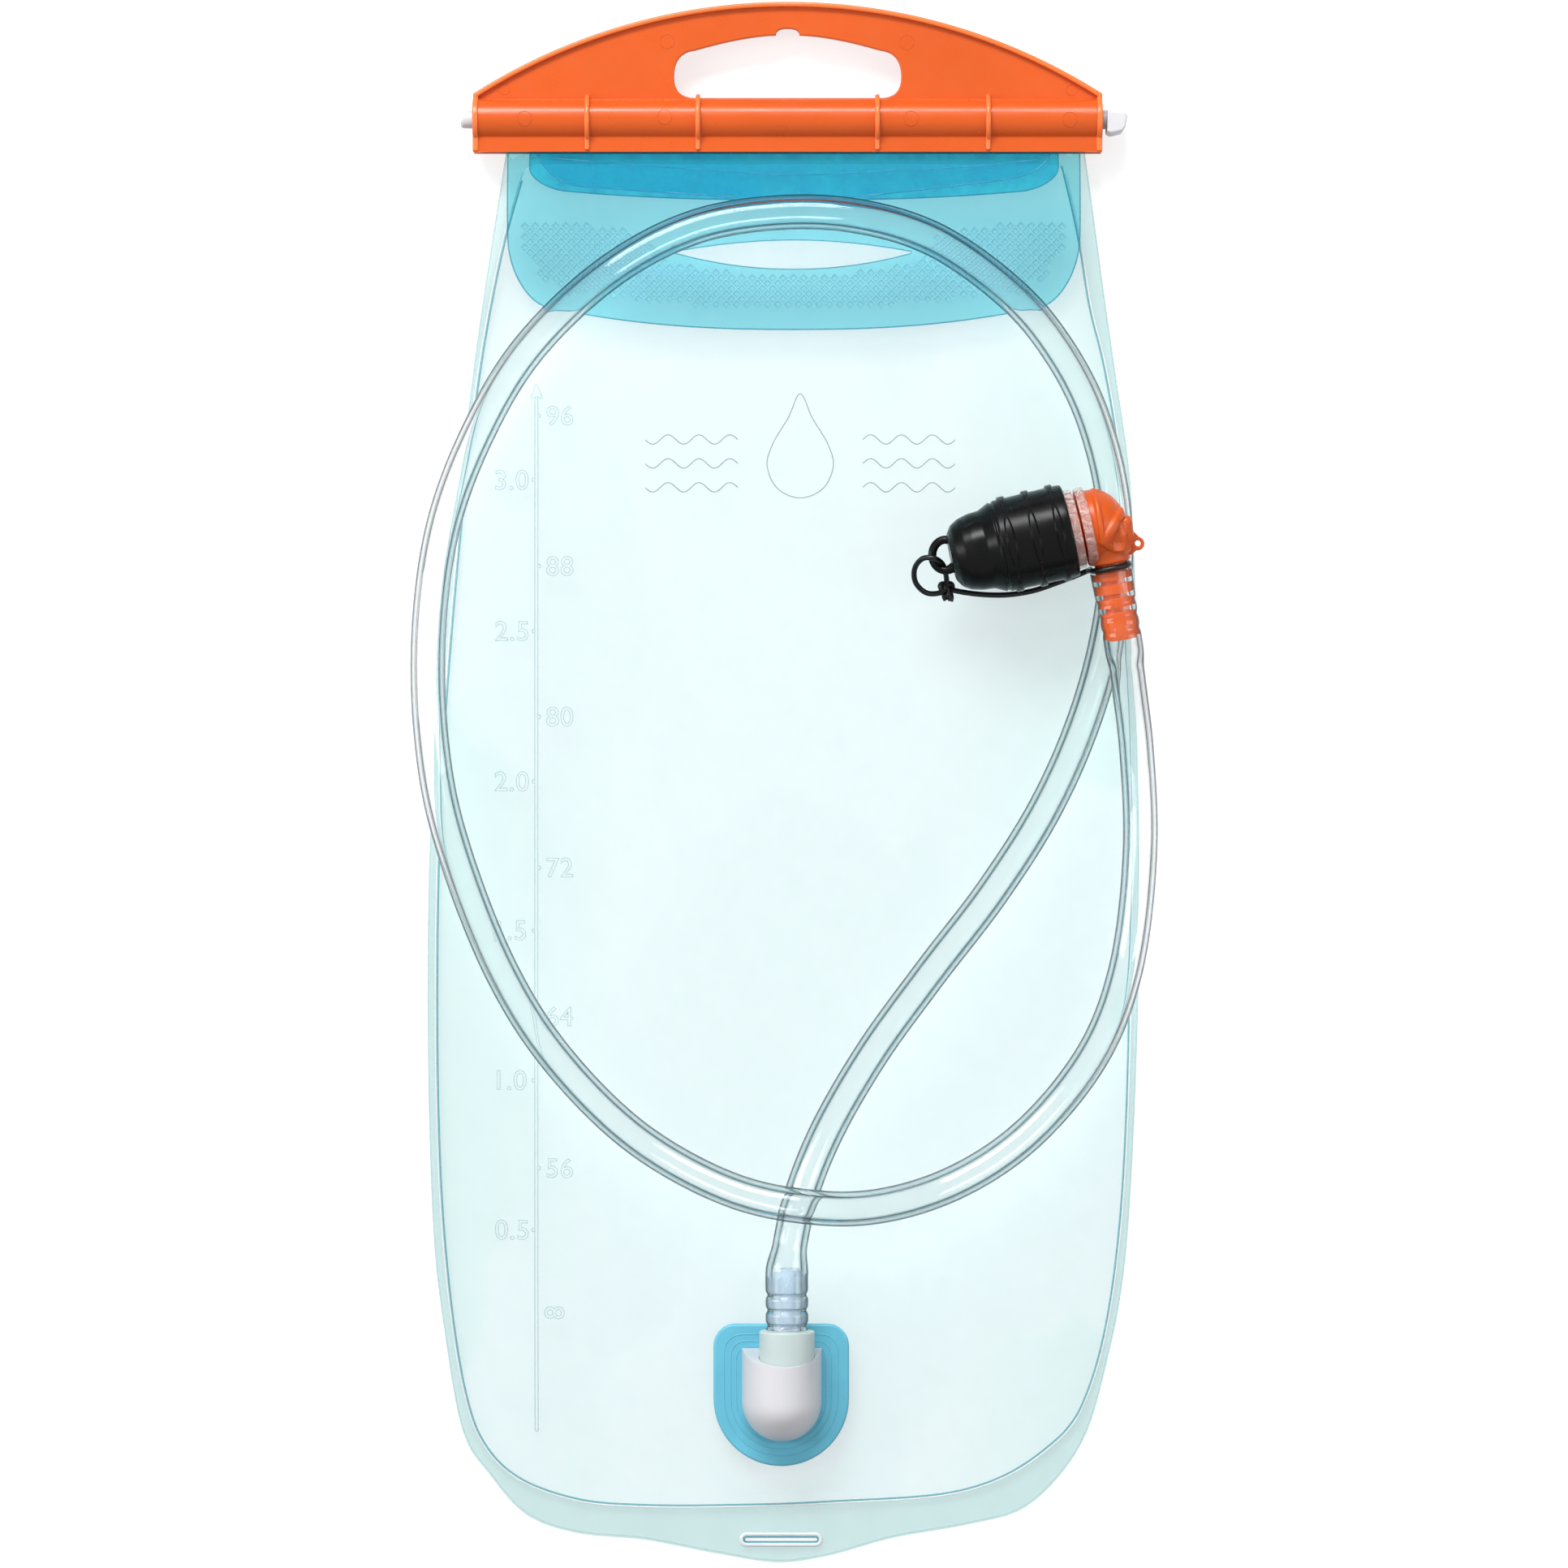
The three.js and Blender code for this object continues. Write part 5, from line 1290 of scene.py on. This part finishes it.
pocket_profile = [(-160.0, 0), (-160.0, COLLAR_R + 0.15), (-150.0, COLLAR_R + 0.15), (-150.0, 0)]
pocket = scratch("pocket", lathe(pocket_profile, *PORT_AXIS, 64))
combine(housing, [pocket], "DIFFERENCE")
dress(housing, "white_plastic", "bag", ["port_housing"], sharp=40, even=True)

collar_profile = fillet([
    (COLLAR_END_Y, 4.4), (COLLAR_END_Y, COLLAR_R), (COLLAR_Y + 0.2, COLLAR_R), (COLLAR_Y + 0.2, 4.3),
], 0.7, 5)
turned("port_collar_milky", collar_profile, PORT_AXIS, 72, "milky_plastic", "bag", "port_collar", 50)
for seal in ("port_seal", "barrel_seal"):
    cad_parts[seal].data.materials.clear()
    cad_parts[seal].data.materials.append(M["seal_rubber"])

barb_profile = [(-159.4, 2.4), (-159.4, 4.0), (COLLAR_Y + 0.4, 4.0), (COLLAR_Y + 1.6, 3.3)]
for groove in (-146.0, -141.9, -137.8):
    barb_profile += [(groove - 0.55, 3.4), (groove + 0.35, 3.4), (groove + 0.6, 4.3), (groove + 2.4, 4.3)]
barb_profile += [(BARB_END_Y - 3.0, 4.3), (BARB_END_Y, 3.9)]
barb_profile = fillet(barb_profile + [(BARB_END_Y, 2.4)], 0.25, 3)
turned("hose_barb_clear", barb_profile, PORT_AXIS, 64, "clear_plastic", "bag", "hose_barb", 45)

# ---------- valve elbow ----------

RIDGES = [
    ([(83.0, 79.6), (86.0, 79.3), (88.5, 77.9), (90.4, 75.9), (91.2, 73.6)], 0.85),
    ([(91.2, 74.0), (89.3, 71.0), (87.4, 67.8), (85.7, 65.0)], 0.95),
    ([(91.3, 74.0), (92.0, 70.0), (92.6, 66.5), (92.9, 63.0)], 0.75),
    ([(85.2, 64.9), (88.4, 63.2), (92.8, 63.0)], 0.8),
    ([(82.9, 79.0), (84.1, 72.0), (85.1, 65.0)], 0.6),
    ([(90.6, 67.6), (91.2, 63.4)], 0.5),
]
ridge_lines = [(respace(catmull(pts), 40), w) for pts, w in RIDGES]


def ridge_share(x, y):
    best = np.zeros(len(x))
    for line, width in ridge_lines:
        d = np.sqrt(((x[:, None] - line[None, :, 0]) ** 2 + (y[:, None] - line[None, :, 1]) ** 2).min(1))
        best = np.maximum(best, smooth((width + 0.45 - d) / 0.75))
    return best


dome_profile = [(-8.6 * math.cos(a), 9.6 * math.sin(a)) for a in np.linspace(0, math.pi / 2, 60)]
dome_profile += [(s, 9.6) for s in np.linspace(0.2, 0.6, 4)] + [(0.75, 9.9), (3.2, 9.95), (3.5, 9.7), (3.6, 0.0)]
dome_verts, dome_faces = lathe(dome_profile, VALVE_AT, VALVE_DIR, 160)
neck_profile = fillet([(-1.0, 0.0), (-1.0, 8.0), (4.0, 7.3), (7.6, 5.9), (10.3, 5.75), (10.3, 4.15)], 1.2, 5)
stem_profile = [(12.8, 4.3)]
for groove in (14.8, 18.6, 22.4):
    stem_profile += [(groove - 0.1, 4.3), (groove, 3.3), (groove + 1.0, 3.3), (groove + 1.2, 4.3)]
stem_profile += [(STEM_LENGTH - 1.0, 4.3), (STEM_LENGTH, 4.0), (STEM_LENGTH, 0.0)]
neck_verts, neck_faces = lathe(neck_profile + stem_profile, STEM_FROM, STEM_DIR, 96)
elbow = scratch("elbow", (dome_verts, dome_faces))
neck = scratch("neck", (neck_verts, neck_faces))
lug_round = arc(95.0, 64.6, 1.85, -0.55 * math.pi, 0.42 * math.pi, 12)
lug_loop = [(86.5, 61.8), (93.4, 61.6), *lug_round, (92.9, 68.9), (88.0, 71.0)]
lug_hole = arc(95.1, 64.7, 0.8, 2 * math.pi, 0, 19)[:-1]
lug = scratch("lug", prism(lug_loop, VALVE_AT[2] - 1.0, VALVE_AT[2] + 1.0, 0.4, holes=[lug_hole]))
combine(elbow, [neck, lug])
co = np.array([v.co for v in elbow.data.vertices]) / MM
normal = np.array([v.normal for v in elbow.data.vertices])
height_share = smooth((np.abs(normal[:, 2]) - 0.05) / 0.4) * (np.abs(co[:, 2] - VALVE_AT[2]) > 1.6)
near_dome = smooth((9.0 - (co - STEM_FROM) @ STEM_DIR) / 2) * smooth((1.0 - (co - VALVE_AT) @ VALVE_DIR) / 0.8)
co += normal * (ridge_share(co[:, 0], co[:, 1]) * height_share * near_dome * 1.0)[:, None]
elbow.data.vertices.foreach_set("co", (co * MM).astype(np.float32).ravel())
elbow.data.update()
elbow.name = "valve_elbow_orange"
dress(elbow, "orange_plastic", "bag", ["valve_elbow"], sharp=50, even=True)


def torn(s, angle, r):
    """A skin whose outside is pulled into small folds."""
    def folds(size, along):
        return np.array([noise.noise(Vector((math.cos(a) * size, math.sin(a) * size, along))) for a in angle])
    return r + (0.2 * folds(2.6, s * 0.9) + 0.12 * folds(7.0, s * 2.2 + 9.0)) * (1.0 if r > 10.3 else 0.0)


band_profile = fillet([
    (0.9, 10.05), (0.9, 10.6), (1.4, 10.75), (2.2, 10.8), (3.0, 10.7), (3.45, 10.5), (3.45, 10.05),
], 0.2, 3)
band_profile.append(band_profile[0])
band = scratch("band", lathe(band_profile, VALVE_AT, VALVE_DIR, 180, torn))
relief = scratch("relief", lathe([(0, 0), (0, 6.4), (14, 6.4), (14, 0)], STEM_FROM, STEM_DIR, 48))
combine(band, [relief], "DIFFERENCE")
band.name = "grip_band_clear"
dress(band, "silicone", "bag", ["grip_band"], sharp=60)

barrel_profile = fillet([
    (-0.6, 2.6), (-0.6, 5.6), (0.6, 5.6), (0.6, 4.3), (2.4, 4.3), (2.4, 5.6), (4.0, 5.6), (4.0, 9.9),
    (7.6, 9.9), (7.6, 4.4), (15, 4.4), (15, 2.6),
], 0.25, 3)
VALVE_AXIS = VALVE_AT, VALVE_DIR
turned(
    "shutoff_barrel_orange", barrel_profile, VALVE_AXIS, 96, "orange_plastic", "shutoff", "shutoff_barrel", 45,
)


def torn_skin(s, angle, r):
    return torn(s, angle, r) if 4.0 < s < 8.0 else np.full(len(angle), r, float)


bite_profile = fillet([
    (4.1, 10.1), (4.1, 10.6), (4.8, 10.75), (6.4, 10.8), (8.2, 10.7), (9.6, 9.2), (11.0, 6.7), (14.5, 6.0),
    (18, 6.4), (24, 7.0), (28, 6.6), (29.1, 5.2), (29.2, 0.0),
], 0.5, 4)
bite_profile += [(27.2, 0.0), (27.2, 3.2), (16, 3.2), (15.3, 4.7), (7.9, 4.7), (7.9, 10.1), (4.1, 10.1)]
bite = scratch("bite", lathe(bite_profile, VALVE_AT, VALVE_DIR, 140, torn_skin))
slit_turn = math.atan2(VALVE_DIR[1], VALVE_DIR[0])


def slit_space(verts):
    tip = VALVE_AT + VALVE_DIR * 26.0
    across = np.array([-math.sin(slit_turn), math.cos(slit_turn), 0])
    return tip + verts @ np.array([across, (0, 0, 1), VALVE_DIR])


slit_loop = [(-0.25, -2.8), (0.25, -2.8), (0.25, 2.8), (-0.25, 2.8)]
tip_cut = scratch("slit", prism(slit_loop, 0.0, 5.0, 0.05, steps=1, to_space=slit_space))
combine(bite, [tip_cut], "DIFFERENCE")
bite.name = "bite_valve_silicone"
dress(bite, "bite_silicone", "shutoff", ["bite_valve"], sharp=60)

# ---------- dust cap ----------

cap_outline = fillet([
    (6.4, 11.8), (6.6, 12.5), (8.0, 12.65), (25.4, 12.4), (25.7, 11.9), (26.2, 11.9), (26.5, 12.2),
    (29.6, 10.65), (32.6, 10.45), (35.6, 9.7), (37.8, 8.4), (39.2, 6.2), (39.5, 3.4), (39.6, 0.0),
], 0.55, 5)
GRIP_LENSES = ((9.8, 1.0), (16.4, 1.05), (23.0, 1.1))


def cap_shape(s, angle, r):
    if r < 11.7:
        return np.full(len(angle), r, float)
    near = np.abs((angle + math.pi / 4) % (math.pi / 2) - math.pi / 4)
    out = np.zeros(len(angle))
    for station, apart in GRIP_LENSES:
        half = apart * np.sqrt(np.clip(1 - (near / 0.6) ** 2, 0, 1))
        out = np.maximum(out, 0.62 * smooth((half - abs(s - station) + 0.12) / 0.34))
    return r + out


cap_profile = [
    *respace(np.array(cap_outline), 280), (37.2, 0.0),
    (36.7, 4.2), (34.8, 7.8), (32.4, 9.3), (29.6, 9.9), (26, 11.15), (6.7, 11.15), (6.4, 11.35),
]
turned("dust_cap_black", cap_profile, VALVE_AXIS, 260, "black_rubber", "cap", "dust_cap", 60, cap_shape)

# The strap that the tether goes through, moulded on the cap's end.
ring = [(math.cos(a), math.sin(a)) for a in np.linspace(0, 2 * math.pi, 49)[:-1]]
strap_line = np.array([(43.4 + 3.5 * x, 61.6 + 4.1 * y, 20.4 + 0.7 * x) for x, y in ring])
strap_r = np.array([1.15 + 0.35 * max(0.0, x) for x, y in ring])
piece("cap_strap", *tube(strap_line, strap_r, 16, True), "black_rubber", "cap", "black_rubber")

# ---------- knot ----------

t = np.linspace(0, 2 * math.pi, 121)[:-1]
over = 0.66
trefoil = np.column_stack([
    KNOT[0] - 0.3 + over * (np.sin(t) + 2 * np.sin(2 * t)) * 0.9,
    KNOT[1] + over * (np.cos(t) - 2 * np.cos(2 * t)) * 1.0,
    KNOT[2] + 0.75 * over * 1.4 * -np.sin(3 * t) + 0.25,
])
knot_body = tube(trefoil, CORD_R, 14, True)
LOOP = [
    (44.2, 53.4, 11.8), (42.4, 51.8, 12.2), (38.6, 51.6, 13.4), (35.6, 54.2, 15.6), (35.2, 58.0, 19.0),
    (37.4, 60.6, 22.6), (40.2, 60.6, 23.6),
    (42.4, 59.4, 21.0), (43.4, 57.4, 17.0), (43.9, 55.4, 13.6), (44.1, 53.6, 12.0),
]
loop_line = respace(catmull(LOOP), 110)
loop_body = tube(loop_line, CORD_R, 14)
CUT_ENDS = [
    [(44.6, 52.4, 11.6), (45.2, 50.6, 12.0), (45.0, 49.4, 12.1)],
    [(43.6, 52.4, 11.0), (43.4, 50.8, 10.9), (43.9, 49.7, 10.9)],
]
ends = [tube(respace(catmull(route), 14), CORD_R, 14) for route in CUT_ENDS]
knot_mesh = merged([knot_body, loop_body, *ends])
knot = piece("tether_knot_loop", *knot_mesh, "black_cord", "cap", "black_cord", ["tether_knot"], sharp=60)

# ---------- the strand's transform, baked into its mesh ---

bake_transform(strand)
